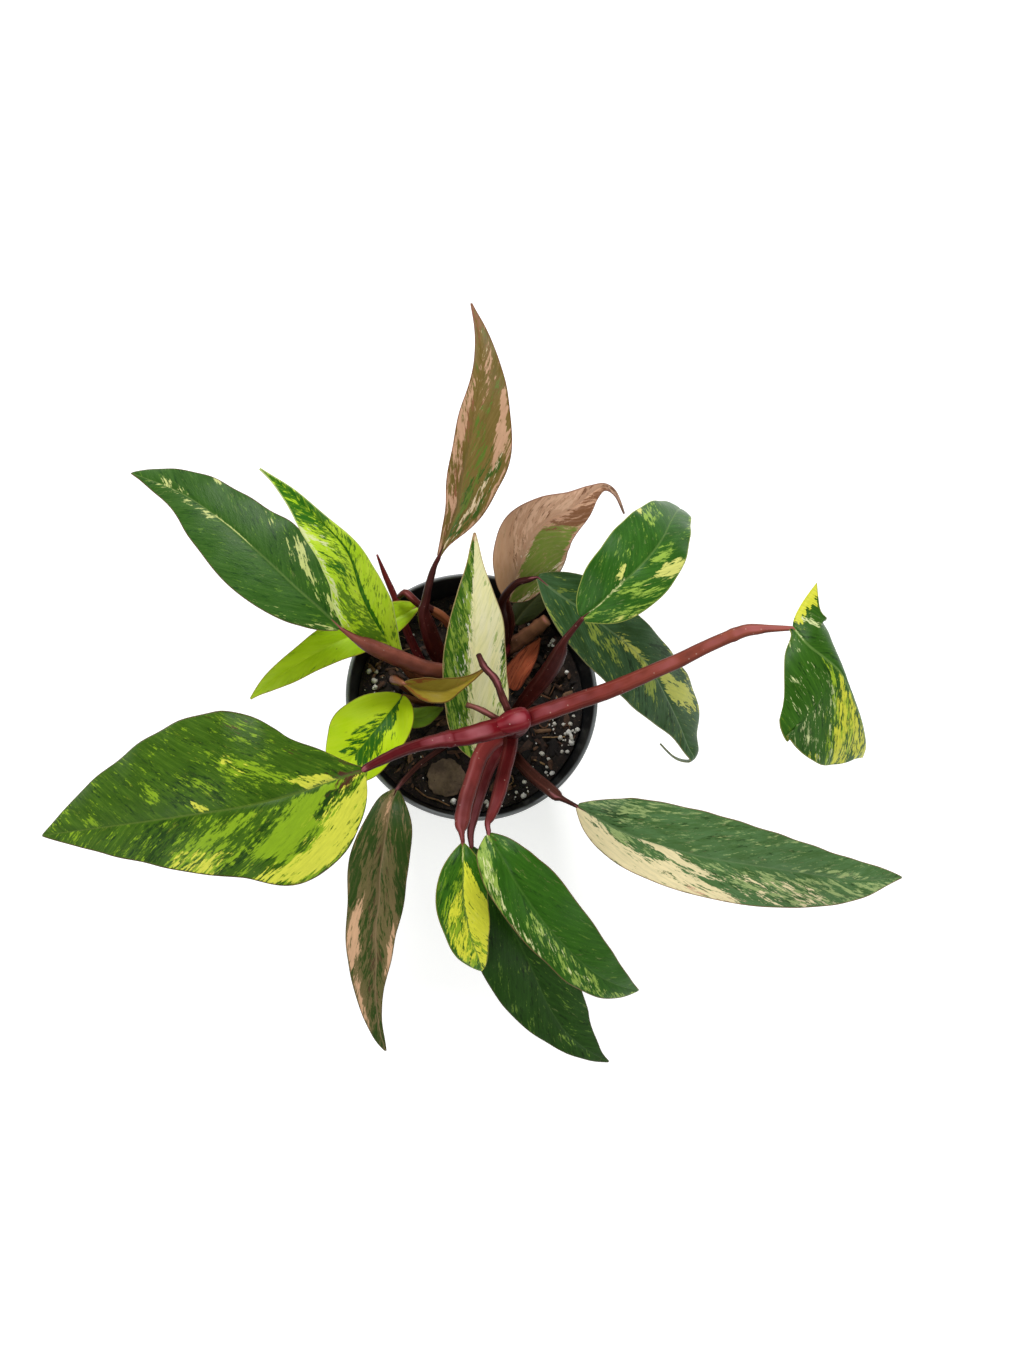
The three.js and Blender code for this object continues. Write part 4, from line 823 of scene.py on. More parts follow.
# %% Marks on the leaves
MARKS = {
    "west_large": [
        ("lime", "left", -1, 0.055, 0.1, 1, 0.62), ("lime", "left", 0.05, 0.19, 0.05, 0.72, 1.15),
        ("lime", "left", 0.1, 0.2, 0.7, 1, 0.62), ("yellow", "left", -1, 0.03, 0.42, 0.96, 1, 0.03),
        ("yellow", "left", -1, 0.06, 0.05, 1, 0.42), ("yellow", "left", 0.02, 0.12, 0.86, 1, 0.7),
        ("dark", "left", 0.062, 0.1, 0.12, 0.42, 1, 0.01),
        ("lime", "left", 0.066, 0.1, 0.14, 0.4, -0.9, 0.01),
        ("lime", "left", 0.22, 0.42, 0.1, 1, 0.6, 0.012),
        ("yellow", "left", 0.24, 0.42, 0.62, 1, 0.6, 0.012), ("lime", "left", 0.4, 1, 0, 1, 0.24),
        ("dark", "left", 0.44, 0.62, 0, 1, 0.6), ("dark", "left", 0.2, 0.23, 0.1, 1, 0.7, 0.01),
        ("lime", "left", 0.8, 0.95, 0, 0.7, 0.42),
        ("yellow", "right", 0.08, 0.17, -0.1, 0.22, 0.8, 0.015),
        ("lime", "right", 0.14, 0.26, 0.16, 0.5, 0.62, 0.015),
        ("yellow", "right", 0.21, 0.25, 0.3, 0.5, 0.7, 0.01),
        ("lime", "right", 0.36, 0.4, 0.7, 0.84, 0.6, 0.012),
        ("lime", "right", 0.43, 0.49, 0.84, 0.98, 0.62, 0.015),
        ("lime", "right", 0.5, 0.56, 0.16, 0.36, 0.6, 0.015),
        ("yellow", "right", 0.43, 0.46, 0.02, 0.14, 0.9, 0.008), ("lime", "right", -1, 1, 0, 1, 0.2),
        ("dark", "right", 0.3, 0.52, 0.05, 0.5, 0.5), ("lime", "right", 0.82, 0.9, 0.6, 0.98, 0.5),
        ("brown", "both", -0.2, 0.07, 0, 0.25, 0.7), ("brown", "right", -0.3, 0.1, 0.6, 1, 0.2),
        ("dark", "both", -1, 1, 0, 1, 0.26),
    ],
    "northwest": [
        ("cream", "right", 0.42, 0.6, -0.1, 0.02, 1, 0.012),
        ("cream", "left", 0.57, 0.66, -0.1, 0.2, 0.6), ("cream", "left", 0.66, 0.78, 0.02, 0.3, 0.3),
        ("cream", "right", 0.72, 0.88, -0.1, 0.3, 0.42), ("cream", "left", 0.78, 0.92, -0.1, 0.3, 0.45),
        ("cream", "right", 0.5, 0.54, 0.88, 1, 0.95, 0.015),
        ("cream", "right", 0.08, 0.17, 0.4, 0.85, 0.62, 0.02),
        ("cream", "right", 0.25, 0.3, 0.65, 0.92, 0.4, 0.02),
        ("cream", "right", -0.05, 0.09, 0.12, 0.6, 0.4), ("cream", "right", 0.16, 0.22, 0.4, 0.75, 0.3),
        ("cream", "left", -0.08, 0.04, 0.5, 1, 0.38), ("dark", "both", -1, 1, 0, 1, 0.25),
        ("lime", "both", -1, 1, 0, 1, 0.06), ("lime", "right", 0, 0.3, 0.3, 1, 0.2),
    ],
    "northwest_lime": [
        ("dark", "both", 0.66, 1.1, -0.1, 1, 0.85), ("dark", "right", 0.12, 0.7, -0.1, 0.16, 1.2, 0.03),
        ("dark", "right", 0.45, 0.7, 0.05, 0.8, 0.56), ("dark", "left", 0.1, 0.7, -0.1, 0.6, 0.42),
        ("dark", "left", 0.3, 0.5, 0.3, 0.85, 0.66), ("brown", "left", -0.3, 0.3, 0, 0.85, 0.8),
        ("brown", "left", 0.3, 0.8, 0, 0.8, 0.4), ("cream", "left", 0.08, 0.66, 0.84, 1, 0.75),
        ("cream", "left", 0.48, 0.66, 0.3, 0.8, 0.42), ("dark", "right", 0.1, 0.42, 0.2, 0.7, 0.26),
        ("dark", "right", -0.2, 0.1, 0.3, 1, 0.2), ("brown", "both", -1, 1, 0, 1, 0.3),
    ],
    "west_lime": [
        ("dark", "both", -1, 1, 0.7, 1, 0.3), ("brown", "left", 0.4, 0.42, 0.26, 0.36, 1.3, 0.006),
    ],
    "small_lime": [
        ("dark", "left", 0, 0.64, -0.1, 0.14, 1.2, 0.02), ("dark", "left", 0.08, 0.6, 0.05, 0.42, 0.86),
        ("dark", "right", 0.2, 0.64, -0.1, 0.4, 0.62), ("dark", "left", 0.1, 0.5, 0.4, 0.7, 0.36),
        ("dark", "left", 0.3, 0.62, 0.3, 0.85, 0.46),
    ],
    "centre_cream": [
        ("dark", "left", -0.5, 0.84, 0.24, 1, 1.5), ("dark", "left", 0.7, 1, 0.1, 0.9, 0.95),
        ("lime", "left", -0.5, 0.9, 0.05, 0.9, 0.5), ("cream", "left", -0.5, 0.95, 0.2, 0.6, 0.14),
        ("dark", "left", -0.5, 0.8, 0, 0.3, 0.2), ("pink", "left", -0.5, 1, 0.96, 1, 0.7),
        ("dark", "right", -0.06, 0.2, 0.8, 1, 0.8), ("dark", "right", -0.24, -0.03, 0.3, 0.84, 0.7),
        ("dark", "right", -0.06, 0.06, 0.1, 0.45, 0.7), ("dark", "right", -0.5, -0.16, 0, 0.6, 0.6),
        ("lime", "right", -0.3, 0.1, 0.1, 1, 0.36), ("lime", "right", 0, 1, 0.5, 0.9, 0.14),
        ("pink", "both", 0.95, 1.1, 0, 1, 0.9),
    ],
    "north": [
        ("pink", "left", 0.3, 0.6, 0.35, 1, 0.72), ("pink", "left", -0.2, 0.34, 0.2, 1, 0.55),
        ("brown", "left", -0.2, 0.6, 0, 0.6, 0.5), ("pink", "right", 0.23, 0.4, 0.72, 0.93, 1.1, 0.02),
        ("pink", "right", 0.08, 0.25, 0.58, 0.86, 1.1, 0.02), ("pink", "right", -0.4, 0.1, 0.84, 1, 0.75),
        ("cream", "right", -0.12, 0.1, 0.2, 0.75, 0.5), ("dark", "right", -0.3, 0.2, 0.1, 0.8, 0.6),
        ("lime", "right", 0.1, 0.52, 0, 0.5, 0.46), ("brown", "both", 0.8, 1.1, 0, 1, 0.6),
        ("brown", "right", 0.45, 0.8, 0.1, 0.5, 0.4), ("cream", "both", 0.55, 0.9, 0, 0.5, 0.16),
        ("pink", "both", 0.5, 0.95, 0, 1, 0.24), ("lime", "both", 0.2, 0.9, 0.3, 1, 0.2),
    ],
    "north_pink": [
        ("brown", "left", 0.1, 0.7, 0.1, 0.95, 0.36), ("pink", "left", 0.15, 0.65, 0.05, 0.95, 0.5),
        ("lime", "right", -0.3, 0.43, 0.08, 0.9, 1.1, 0.06),
        ("brown", "right", 0.36, 0.9, 0.1, 1, 0.85, 0.12), ("cream", "right", -0.3, 0, 0.6, 1, 0.4),
        ("cream", "both", -0.1, 0.3, 0, 0.1, 0.35), ("brown", "both", 0.72, 1.1, 0, 1, 0.7),
        ("dark", "right", -0.3, 0.3, 0.5, 1, 0.3),
    ],
    "northeast": [
        ("yellow", "left", 0.165, 0.2, 0.1, 0.3, 0.95, 0.012),
        ("lime", "left", 0.16, 0.21, 0.05, 0.55, 0.6), ("lime", "left", 0.34, 0.56, 0.3, 0.95, 0.5),
        ("yellow", "left", 0.33, 0.39, 0.84, 1, 0.9, 0.015), ("yellow", "left", 0.2, 0.26, 0.9, 1, 0.75),
        ("yellow", "right", 0.16, 0.27, 0.45, 1, 1), ("lime", "right", 0.28, 0.4, 0.08, 0.55, 0.55),
        ("lime", "right", 0.09, 0.19, 0.05, 0.5, 0.6), ("lime", "right", 0.04, 0.12, 0.5, 0.95, 0.58),
        ("cream", "both", -0.2, 0.2, -0.1, 0.04, 0.6, 0.02), ("lime", "right", -0.3, 0.05, 0, 1, 0.5),
        ("yellow", "right", -0.3, -0.05, 0.4, 1, 0.7), ("lime", "right", 0.5, 0.85, 0.75, 1, 0.45),
        ("lime", "both", -1, 1, 0, 1, 0.1),
    ],
    "east_dark": [
        ("lime", "right", 0.12, 0.28, 0.1, 0.55, 0.6), ("lime", "right", -0.08, 0.04, 0.86, 1, 0.55),
        ("yellow", "left", 0.46, 0.6, 0.08, 0.8, 1), ("yellow", "left", 0.3, 0.72, 0.9, 1, 0.85),
        ("lime", "right", 0.38, 0.5, -0.1, 0.5, 0.8), ("yellow", "both", 0.3, 0.42, -0.1, 0.14, 0.7),
        ("lime", "both", -1, 1, 0, 1, 0.1), ("dark", "right", 0.28, 1, 0, 1, 0.4),
        ("dark", "left", 0.3, 0.46, 0.5, 0.9, 0.6), ("lime", "right", 0, 0.2, 0.4, 1, 0.26),
    ],
    "east_far": [
        ("yellow", "right", 0.3, 1.1, 0, 1, 0.6), ("lime", "right", 0.2, 0.6, 0, 1, 0.5),
        ("yellow", "right", -0.06, 0.12, 0.92, 1, 0.7), ("cream", "right", -0.4, 0.3, 0.2, 0.95, 0.18),
        ("cream", "both", -0.1, 0.1, -0.1, 0.04, 0.7, 0.02), ("dark", "both", -1, 1, 0, 1, 0.3),
        ("cream", "left", -0.16, -0.1, 0.3, 0.9, 0.4, 0.01),
    ],
    "southeast": [
        ("cream", "right", -1, 0.1, 0.03, 1, 1), ("cream", "right", 0.1, 0.2, 0.4, 1, 0.95),
        ("cream", "right", 0.17, 0.28, -0.2, 0.5, 0.95), ("cream", "right", 0.07, 0.17, 0.04, 0.36, -0.9),
        ("lime", "right", 0.06, 0.18, 0, 0.4, 0.6), ("pink", "right", 0.08, 0.2, 0.78, 1, 0.8),
        ("brown", "right", -0.02, 0.12, 0.8, 0.96, 0.4), ("pink", "right", -0.6, 0.02, 0.05, 0.4, 0.5),
        ("lime", "right", 0.28, 1, 0.1, 1, 0.5), ("cream", "right", 0.28, 0.6, 0.3, 1, 0.36),
        ("lime", "left", -0.3, 0.06, 0.35, 1, 0.5), ("lime", "left", 0.05, 0.12, 0.12, 0.35, 0.5),
        ("lime", "left", 0.6, 0.9, 0, 0.35, 0.5), ("lime", "left", -1, 1, 0, 1, 0.22),
        ("dark", "both", -0.3, 0.1, 0, 0.5, 0.5), ("dark", "both", -1, 1, 0, 1, 0.22),
    ],
    "south_long": [
        ("lime", "right", -0.5, 0.06, 0, 1, 0.62), ("cream", "right", -0.5, 0.06, 0.1, 0.9, 0.38),
        ("cream", "right", 0.03, 0.3, 0.72, 1, 0.42), ("pink", "right", 0, 0.26, 0.95, 1, 0.6),
        ("lime", "right", 0.1, 0.35, 0.3, 0.7, 0.24), ("lime", "right", 0.28, 0.72, 0.08, 0.9, 0.5),
        ("cream", "right", 0.3, 0.7, 0.2, 0.8, 0.24), ("lime", "right", 0.7, 1, 0.45, 1, 0.5),
        ("lime", "left", -1, 1, 0, 1, 0.04), ("lime", "left", -0.08, 0, 0.3, 0.55, 0.5),
        ("brown", "both", -0.3, 0.03, 0, 0.3, 0.5), ("dark", "both", -1, 1, 0, 1, 0.2),
    ],
    "south_small": [
        ("yellow", "left", 0.08, 0.62, 0.03, 1, 1, 0.03), ("yellow", "left", 0.6, 1.1, 0, 0.9, 0.7),
        ("lime", "left", 0.6, 1.1, 0, 1, 0.6), ("lime", "right", 0.12, 1.1, 0, 0.85, 0.68),
        ("yellow", "right", 0.22, 0.85, 0, 0.85, 0.56),
        ("cream", "both", -0.1, 0.12, -0.1, 0.05, 0.8, 0.02), ("lime", "both", -1, 0.1, 0, 1, 0.06),
        ("dark", "right", -1, 1, 0, 1, 0.3),
    ],
    "south_dark": [
        ("lime", "right", 0.49, 0.53, 0.32, 0.52, 0.75), ("lime", "right", 0.7, 0.8, 0.08, 0.4, 0.55),
        ("lime", "right", 0.84, 0.9, 0.1, 0.5, 0.45), ("lime", "both", -1, 1, 0, 1, 0.1),
        ("dark", "both", -1, 1, 0, 1, 0.25),
    ],
    "southwest": [
        ("dark", "right", -1, 0.02, 0.1, 1, 0.9), ("dark", "right", 0, 0.24, 0.1, 0.9, 0.6),
        ("dark", "right", -0.1, 0.14, 0.5, 1, 0.9), ("pink", "right", 0.2, 0.42, 0.55, 1, 0.9),
        ("dark", "right", 0.28, 1.1, 0.08, 0.6, 0.66), ("pink", "right", 0.4, 0.8, 0.66, 1, 0.55),
        ("dark", "both", 0.8, 1.1, 0, 1, 0.8), ("dark", "left", -1, 0.12, 0.05, 1, 0.9),
        ("dark", "left", 0, 0.26, 0.6, 1, 0.9), ("pink", "left", 0.26, 0.6, 0.66, 1, 0.6),
        ("dark", "left", 0.1, 0.8, 0, 0.6, 0.5), ("brown", "both", 0.1, 0.8, 0, 0.4, 0.4),
        ("pink", "right", -0.02, 0.1, 0.02, 0.3, 0.7), ("dark", "right", -0.02, 0.1, 0, 0.34, -0.9),
        ("dark", "both", -1, 1, 0, 1, 0.3),
    ],
    "curled_caramel": [
        ("brown", "both", -1, 0.02, 0, 1, 0.7), ("brown", "both", 0.8, 1.1, 0, 1, 0.6),
        ("brown", "both", -1, 1, 0.85, 1, 0.5), ("pink", "both", 0.4, 1, 0, 1, 0.3),
    ],
    "small_green": [("lime", "both", -1, 1, 0, 1, 0.05)],
}
# A yellow crescent along the base edge of the far leaf's raised lobe, in steps
for step in (0.1, 0.3, 0.5, 0.7, 0.9):
    MARKS["east_far"].append(("yellow", "left", -3.0, -0.52 * step, step, step + 0.22, 1.1, 0.02))
# How plainly the midrib shows as a pale line, where it isn't as plain as on most leaves
MOST_RIB_LINES = 0.3
RIB_LINE = {
    "northwest": 0.15, "northwest_lime": 0.15, "west_lime": 0.2, "small_lime": 0.1,
    "centre_cream": 0.1, "north": 0.15, "north_pink": 0.4, "northeast": 0.2, "southeast": 0.2,
    "south_long": 0.15, "south_dark": 0.2, "southwest": 0.35,
}

# %% Grow the blades
SEED_STEP = 11.7
for order, (name, leaf) in enumerate(LEAVES.items()):
    points, faces, attributes = blade(leaf, MARKS.get(name, ()))
    rib_line = RIB_LINE.get(name, MOST_RIB_LINES)
    skin = leaf_material("waxy_leaf_" + name, TONES[name], rib_line, seed=SEED_STEP * order)
    add_piece(
        "blade_" + name, points, faces, skin, ["leaf_" + name], attributes
    )
    print("blade", name, len(points), "points")

# %% [markdown]
# ## Stalks, sheaths and roots
# The leaf stalks of this plant are wine red, glossy and a little flattened, with a
# shallow channel on top that they keep from the bud they wrapped. Each is a tube whose
# width and height change along its curve, with the channel pressed in. The last points
# run on under the midrib, so that the stalk grows into its blade.

# %% Stalk builder
STALK_SIDES = 28


def ring_faces(rows, sides):
    """Faces of a closed body of rings, with one centre point at each end after them."""
    grid = np.arange(rows * sides).reshape(rows, sides)
    ahead = np.roll(grid, -1, axis=1)
    wall = np.stack([grid[:-1], ahead[:-1], ahead[1:], grid[1:]], -1).reshape(-1, 4)
    centre = np.full(sides, rows * sides)
    start = np.stack([grid[0], centre, centre, ahead[0]], 1)
    end = np.stack([ahead[-1], centre + 1, centre + 1, grid[-1]], 1)
    return np.vstack([wall, start, end])


STALK_ROW_MM = 1.1
CHANNEL_DEEP = 0.16
CHANNEL_WIDE = 0.42
RING_HALF = 0.9
LEAST_HALF = 0.3


def tube(points, channel=CHANNEL_DEEP, lumps=0.02, seed=0.0, sides=STALK_SIDES, rings=()):
    """Points, faces and stalk coordinates of one tube, in millimetres."""
    length = curve_through(points, [0, 1])[1]
    rows = max(6, int(length / STALK_ROW_MM))
    read, length = curve_through(points, np.linspace(0, 1, rows))
    out, left = frames_on(read[:, :3])[1:]
    angle = 2 * math.pi * np.arange(sides) / sides
    from_top = np.abs((angle - math.pi / 2 + math.pi) % (2 * math.pi) - math.pi)
    dip = 1 - channel * np.exp(-((from_top / CHANNEL_WIDE) ** 2))
    along = np.linspace(0, length, rows)
    swell = 1 + lumps * np.sin(0.9 * along + seed)[:, None] * np.cos(angle * 2 + seed)
    for ring_mm, grow in rings:
        swell = swell + grow * np.exp(-(((along - ring_mm) / RING_HALF) ** 2))[:, None]
    wide = np.maximum(LEAST_HALF, read[:, 3])[:, None] * np.cos(angle) * swell
    high = np.maximum(LEAST_HALF, read[:, 4])[:, None] * np.sin(angle) * swell * dip
    ring = (
        read[:, None, :3] + left[:, None] * wide[..., None] + out[:, None] * high[..., None]
    )
    points_out = np.vstack([ring.reshape(-1, 3), read[:1, :3], read[-1:, :3]])
    where = np.stack(np.broadcast_arrays(
        from_top[None, :] / math.pi, along[:, None], (along / length)[:, None]
    ), -1).reshape(-1, 3)
    where = np.vstack([where, [[0.5, 0, 0], [0.5, length, 1]]])
    return points_out, ring_faces(rows, sides), where


# %% [markdown]
# ## The stalk surface
# Stalk skin is smooth and waxed like the leaf, but redder: wine red where the light
# reaches it, browner on old stalks and towards the blades. Each stalk carries its own
# two tones on its vertices. The skin has fine lengthwise strands a third of a millimetre
# wide, which would vanish at this size, so they are drawn twice as wide, paler lips
# along the channel, and scattered pale dots of cork. The side that faces up gets a painted
# highlight, a pale pink laid on in patches, and the flanks and the underside get painted
# shade, a deep red multiplied in where the surface turns away from up. The wax is thin
# here, so its reflection is set low; a higher one would draw grey lines along the sides.

# %% Stalk material
STRAND_MM = 0.7
STRAND_TURN = 9.0
STRAND_ALONG = 0.09
CORK_MM = 1.6
STALK_SHEEN = 0.09
# How strong the painted highlight on top of the stalks and the painted shade on their flanks are
PAINTED_HIGHLIGHT_SHARE = 0.75
PAINTED_SHADE_SHARE = 0.8


def stalk_material(name, roughness=0.36, cork=0.5):
    """Waxy stalk skin over the tones that the vertices carry, with a painted highlight on top and painted
    shade below.
    """
    material, tree, shader = new_material(name, roughness, WAX_IOR, STALK_SHEEN)
    vector = add_node(tree, "Attribute", attribute_name="stalk").outputs["Vector"]
    tint = add_node(tree, "Attribute", attribute_name="tint")
    turn, along = add_node(tree, "SeparateXYZ", vector).outputs[:2]
    strand_place = add_node(
        tree, "CombineXYZ",
        add_node(tree, "Math", turn, STRAND_TURN, operation="MULTIPLY"),
        add_node(tree, "Math", along, STRAND_ALONG, operation="MULTIPLY"),
    )
    strands = add_node(tree, "TexNoise", strand_place, scale=1.0 / STRAND_MM, detail=4.0)
    surface = add_node(tree, "NewGeometry").outputs
    place = surface["Position"]
    facing_up = add_node(tree, "SeparateXYZ", surface["Normal"]).outputs["Z"]
    cloud = add_node(tree, "TexNoise", place, scale=160.0, detail=4.0)
    shaded = add_node(tree, "MapRange", cloud, 0.45, 0.75, 0.0, 0.45)
    lined = add_node(tree, "MapRange", strands, 0.5, 0.85, 0.0, 0.16)
    # Painted highlight: where a stalk faces straight up, its colour is mixed towards a pale pink, in
    # patches
    painted_highlight = add_node(tree, "MapRange", facing_up, 0.9, 1.0, 0.0, PAINTED_HIGHLIGHT_SHARE)
    patchy_painted_highlight = add_node(tree, "Math", painted_highlight, cloud, operation="MULTIPLY")
    lip = add_node(tree, "Math", turn, 0.2, operation="SUBTRACT")
    lip = add_node(tree, "Math", lip, operation="ABSOLUTE")
    lips = add_node(tree, "MapRange", lip, 0.0, 0.05, 0.12, 0.0)
    dots = add_node(tree, "TexVoronoi", place, scale=0.5 / (CORK_MM * MM))
    corky = add_node(tree, "MapRange", dots, 0.05, 0.1, cork, 0.0)
    colour = tint
    for share, tone in (
        (shaded, "2e1210"), (lined, "a85a4c"), (patchy_painted_highlight, "cc7c84"), (lips, "b87468"),
        (corky, "c8a898"),
    ):
        colour = add_node(tree, "MixRGB", share, colour, linear(tone))
    # Painted shade: the flanks and the underside are multiplied towards a deep red, more the further they
    # turn from up
    painted_shade = add_node(tree, "MapRange", facing_up, 0.1, 0.9, PAINTED_SHADE_SHARE, 0.0)
    colour = add_node(tree, "MixRGB", painted_shade, colour, linear("5a2024"), blend_type="MULTIPLY")
    finish_surface(tree, shader, colour, strands, 0.12, 0.12)
    return material


def tinted(tubes, tones):
    """Tubes joined, with each one's two tones laid along it."""
    points, faces, where = join(tubes)
    tints = []
    for made, (low, high) in zip(tubes, tones):
        share = made[2][:, 2:3]
        ends = np.array([linear(low)[:3], linear(high)[:3]])
        tints.append(ends[:1] * (1 - share) + ends[1:] * share)
    return points, faces, {"stalk": where, "tint": np.vstack(tints)}


# %% [markdown]
# ## Where the stalks run
# These are the same points as in the CAD source: place, half width and half height in
# millimetres. The rooted stems reach down into the mix.

# %% Stalk and root points
PETIOLES = {
    "west_large": [
        (11, -22, 144, 4, 4), (5, -24.5, 148.5, 3.8, 3.4), (0, -26.5, 152, 3.7, 3.2),
        (-8, -29, 154, 3.3, 2.8), (-16.5, -31, 157, 2.6, 2.6), (-24.5, -33.5, 160, 2.2, 2.2),
        (-30.5, -36.5, 165, 2, 2), (-37, -40.5, 170, 1.7, 1.7), (-42, -43.8, 173.7, 1.2, 0.9),
    ],
    "east_far": [
        (12, -22, 144, 3.2, 3.2), (16.5, -20.5, 149, 3.3, 3.2), (29, -16.5, 154, 3.2, 3),
        (44, -12, 161, 3, 2.8), (58, -6.5, 168, 2.7, 2.6), (65.5, -3.5, 171, 2.6, 2.4),
        (72, -0.5, 175, 2.4, 2.3), (79, 2.5, 178, 2.3, 2.2), (86, 5, 181, 2.2, 2),
        (91, 5.5, 182, 1.8, 1.8), (93.5, 5.5, 183, 1.4, 1.4), (100.2, 5.2, 185.2, 0.9, 0.8),
    ],
    "south_long": [
        (12, -20.5, 123, 3, 2.6), (11, -28, 129, 2.8, 2.2), (8.5, -37, 134, 2.7, 2),
        (5.5, -47.5, 140, 2.5, 1.8), (2.5, -55.5, 144, 1.8, 1.6), (1, -58.5, 146, 1.1, 1.2),
        (1.4, -61.7, 146.9, 0.9, 0.8),
    ],
    "south_small": [
        (11.5, -20, 117, 3.4, 2.6), (4, -26, 123, 3.4, 2.2), (0, -31.5, 127, 3.2, 2),
        (-2.5, -38.5, 130, 3, 2), (-6, -49.5, 134, 3, 2), (-7.5, -58, 136, 2.7, 1.6),
        (-7.5, -61, 137, 1.2, 1.2), (-7, -64.4, 137, 0.8, 0.7),
    ],
    "south_dark": [
        (12.5, -18.5, 102, 3, 2.6), (8, -27.5, 107, 2.8, 2.4), (4.5, -34.5, 111, 2.4, 2),
        (1, -44.5, 116, 2.1, 1.8), (-1.5, -53, 119, 1.9, 1.6), (-3, -59.5, 121, 1.4, 1.3),
        (-2.7, -64.8, 121.9, 0.9, 0.8),
    ],
    "centre_cream": [
        (14, -16.5, 79, 2.2, 2.2), (8, -23, 84, 2, 1.8), (4, -27.5, 90, 1.6, 1.5),
        (0.9, -28.5, 96.2, 0.9, 0.8),
    ],
    "northeast": [
        (14.5, -15.5, 80, 2.6, 2.6), (16.5, -10.5, 85, 2.8, 2.6), (19, -6, 93, 2.9, 2.6),
        (22.5, -2, 105, 3.3, 2.4), (25, 0.5, 115, 3.5, 2.2), (27.6, 4, 127, 3.4, 2.1),
        (29, 7.2, 136, 2.8, 1.8), (29.8, 9.8, 140, 1.7, 1.6), (31.2, 12, 142.5, 1.3, 1.3),
        (35.7, 17.2, 148.4, 0.9, 0.8),
    ],
    "southeast": [
        (14.5, -17, 82, 2.4, 2.2), (17, -25, 90, 2.5, 2.1), (19.5, -30.5, 98, 2.6, 2),
        (24, -36.5, 104, 2.8, 2), (28.5, -41.5, 110, 2.8, 1.8), (31.5, -44.5, 112, 2.4, 1.6),
        (33, -45.5, 113, 1.2, 1.2), (38, -48.7, 116.7, 0.8, 0.7),
    ],
    "northwest": [
        (-6, 6, 84, 3, 3), (-8, 5, 96, 3.2, 3), (-13.5, 5.5, 106, 4, 3.2), (-23, 6, 112, 4.2, 3.2),
        (-31, 7.5, 118, 4.2, 3.2), (-38.5, 9, 124, 4, 3), (-44, 10.5, 128, 3, 2.6),
        (-47.5, 11.4, 131, 1.8, 1.6), (-52.9, 14.4, 133.3, 0.8, 0.7),
    ],
    "northwest_lime": [
        (-7, 6, 77, 2.4, 2.4), (-13.5, 3.5, 84, 2.4, 2.4), (-22.5, 5, 92, 2.4, 2.2),
        (-28, 8, 100.5, 2, 2), (-31.3, 11.1, 107, 0.9, 0.9),
    ],
    "north": [
        (-7, 6.5, 82, 3, 2.6), (-13, 12, 97, 3.6, 2.2), (-16.5, 15, 105, 3.8, 2),
        (-20, 19.5, 118, 3.6, 2), (-22.5, 23, 130, 2.6, 1.8), (-22, 25.5, 136, 1.8, 1.6),
        (-21.5, 28, 143, 1.5, 1.4), (-20.5, 31, 149, 1.4, 1.3), (-19.5, 33.5, 154, 1, 1),
        (-18.2, 35.5, 157.3, 0.8, 0.8),
    ],
    "west_lime": [
        (-6, 8, 79, 1.8, 1.8), (-4, 18, 91, 1.8, 1.8), (-11.5, 27.5, 101, 2, 2),
        (-17.5, 31, 105, 1.9, 1.9), (-23.3, 32.1, 107.8, 0.9, 0.8),
    ],
    "new_spike": [
        (-7, 7, 76, 1.6, 1.6), (-14, 7, 84, 1.6, 1.6), (-20.5, 12, 90, 1.8, 1.6),
        (-26, 20, 96, 2, 1.6), (-30, 28, 101, 1.7, 1.5), (-33.5, 36, 106, 1.4, 1.4),
        (-37.5, 43.5, 111, 1.1, 1.1), (-41, 50.5, 116, 0.4, 0.4),
    ],
    "dry_sheath": [
        (-18, 31.2, 105.5, 1.5, 1.3), (-21, 31.5, 110, 1.6, 1.3), (-24, 31.5, 113, 1.6, 1.3),
        (-26.5, 33, 115, 1.6, 1.3), (-29.5, 35.5, 115, 1.6, 1.2), (-32, 34.5, 112, 1, 1),
    ],
    "east_dark": [
        (13, 22, 80, 1.9, 1.9), (12.5, 24, 95, 1.8, 1.8), (10.5, 26, 111, 1.7, 1.7),
        (8.5, 29.5, 121, 1.6, 1.6), (9.5, 32, 129, 1.5, 1.5), (13, 34.5, 135, 1.4, 1.4),
        (17, 35, 138, 1.2, 1.2), (19.3, 35.4, 138.9, 0.8, 0.7),
    ],
    "north_pink": [
        (13.5, 22.5, 80, 1.8, 1.8), (15, 27, 90, 1.7, 1.7), (14.5, 30, 101, 1.6, 1.6),
        (12.7, 31.3, 110, 1.4, 1.4), (11.6, 32.7, 117.1, 0.9, 0.8),
    ],
    "shaded": [
        (14, 23, 78, 1.4, 1.4), (16, 28, 84, 1.3, 1.3), (17.3, 31.3, 87.3, 0.8, 0.8),
    ],
    "small_lime": [
        (-17, -1.5, 75, 1.6, 1.6), (-22, -3.5, 88, 1.5, 1.5), (-26.5, -4, 98, 1.2, 1.2),
        (-29.1, -3.9, 102.2, 0.8, 0.7),
    ],
    "curled_caramel": [
        (-17, -0.5, 76, 1.5, 1.5), (-22, -0.5, 84, 1.5, 1.5), (-27.5, 0.5, 95, 1.6, 1.6),
        (-31.5, 1.5, 107, 1.8, 1.8), (-33, -1, 118, 1.9, 1.8), (-29.7, -4.2, 126.3, 1.1, 1),
    ],
    "small_green": [
        (-29.2, -5.6, 78, 0.9, 0.9), (-32.5, -8, 87, 0.9, 0.9), (-34.3, -10.2, 93.3, 0.7, 0.6),
    ],
    "southwest": [
        (-3.6, -16, 78, 1.2, 1.2), (-11, -21.5, 87, 1.3, 1.3), (-21.5, -30.5, 98, 1.2, 1.2),
        (-27.5, -37.5, 104, 1.1, 1.1), (-30.7, -41.9, 106.6, 0.8, 0.7),
    ],
}
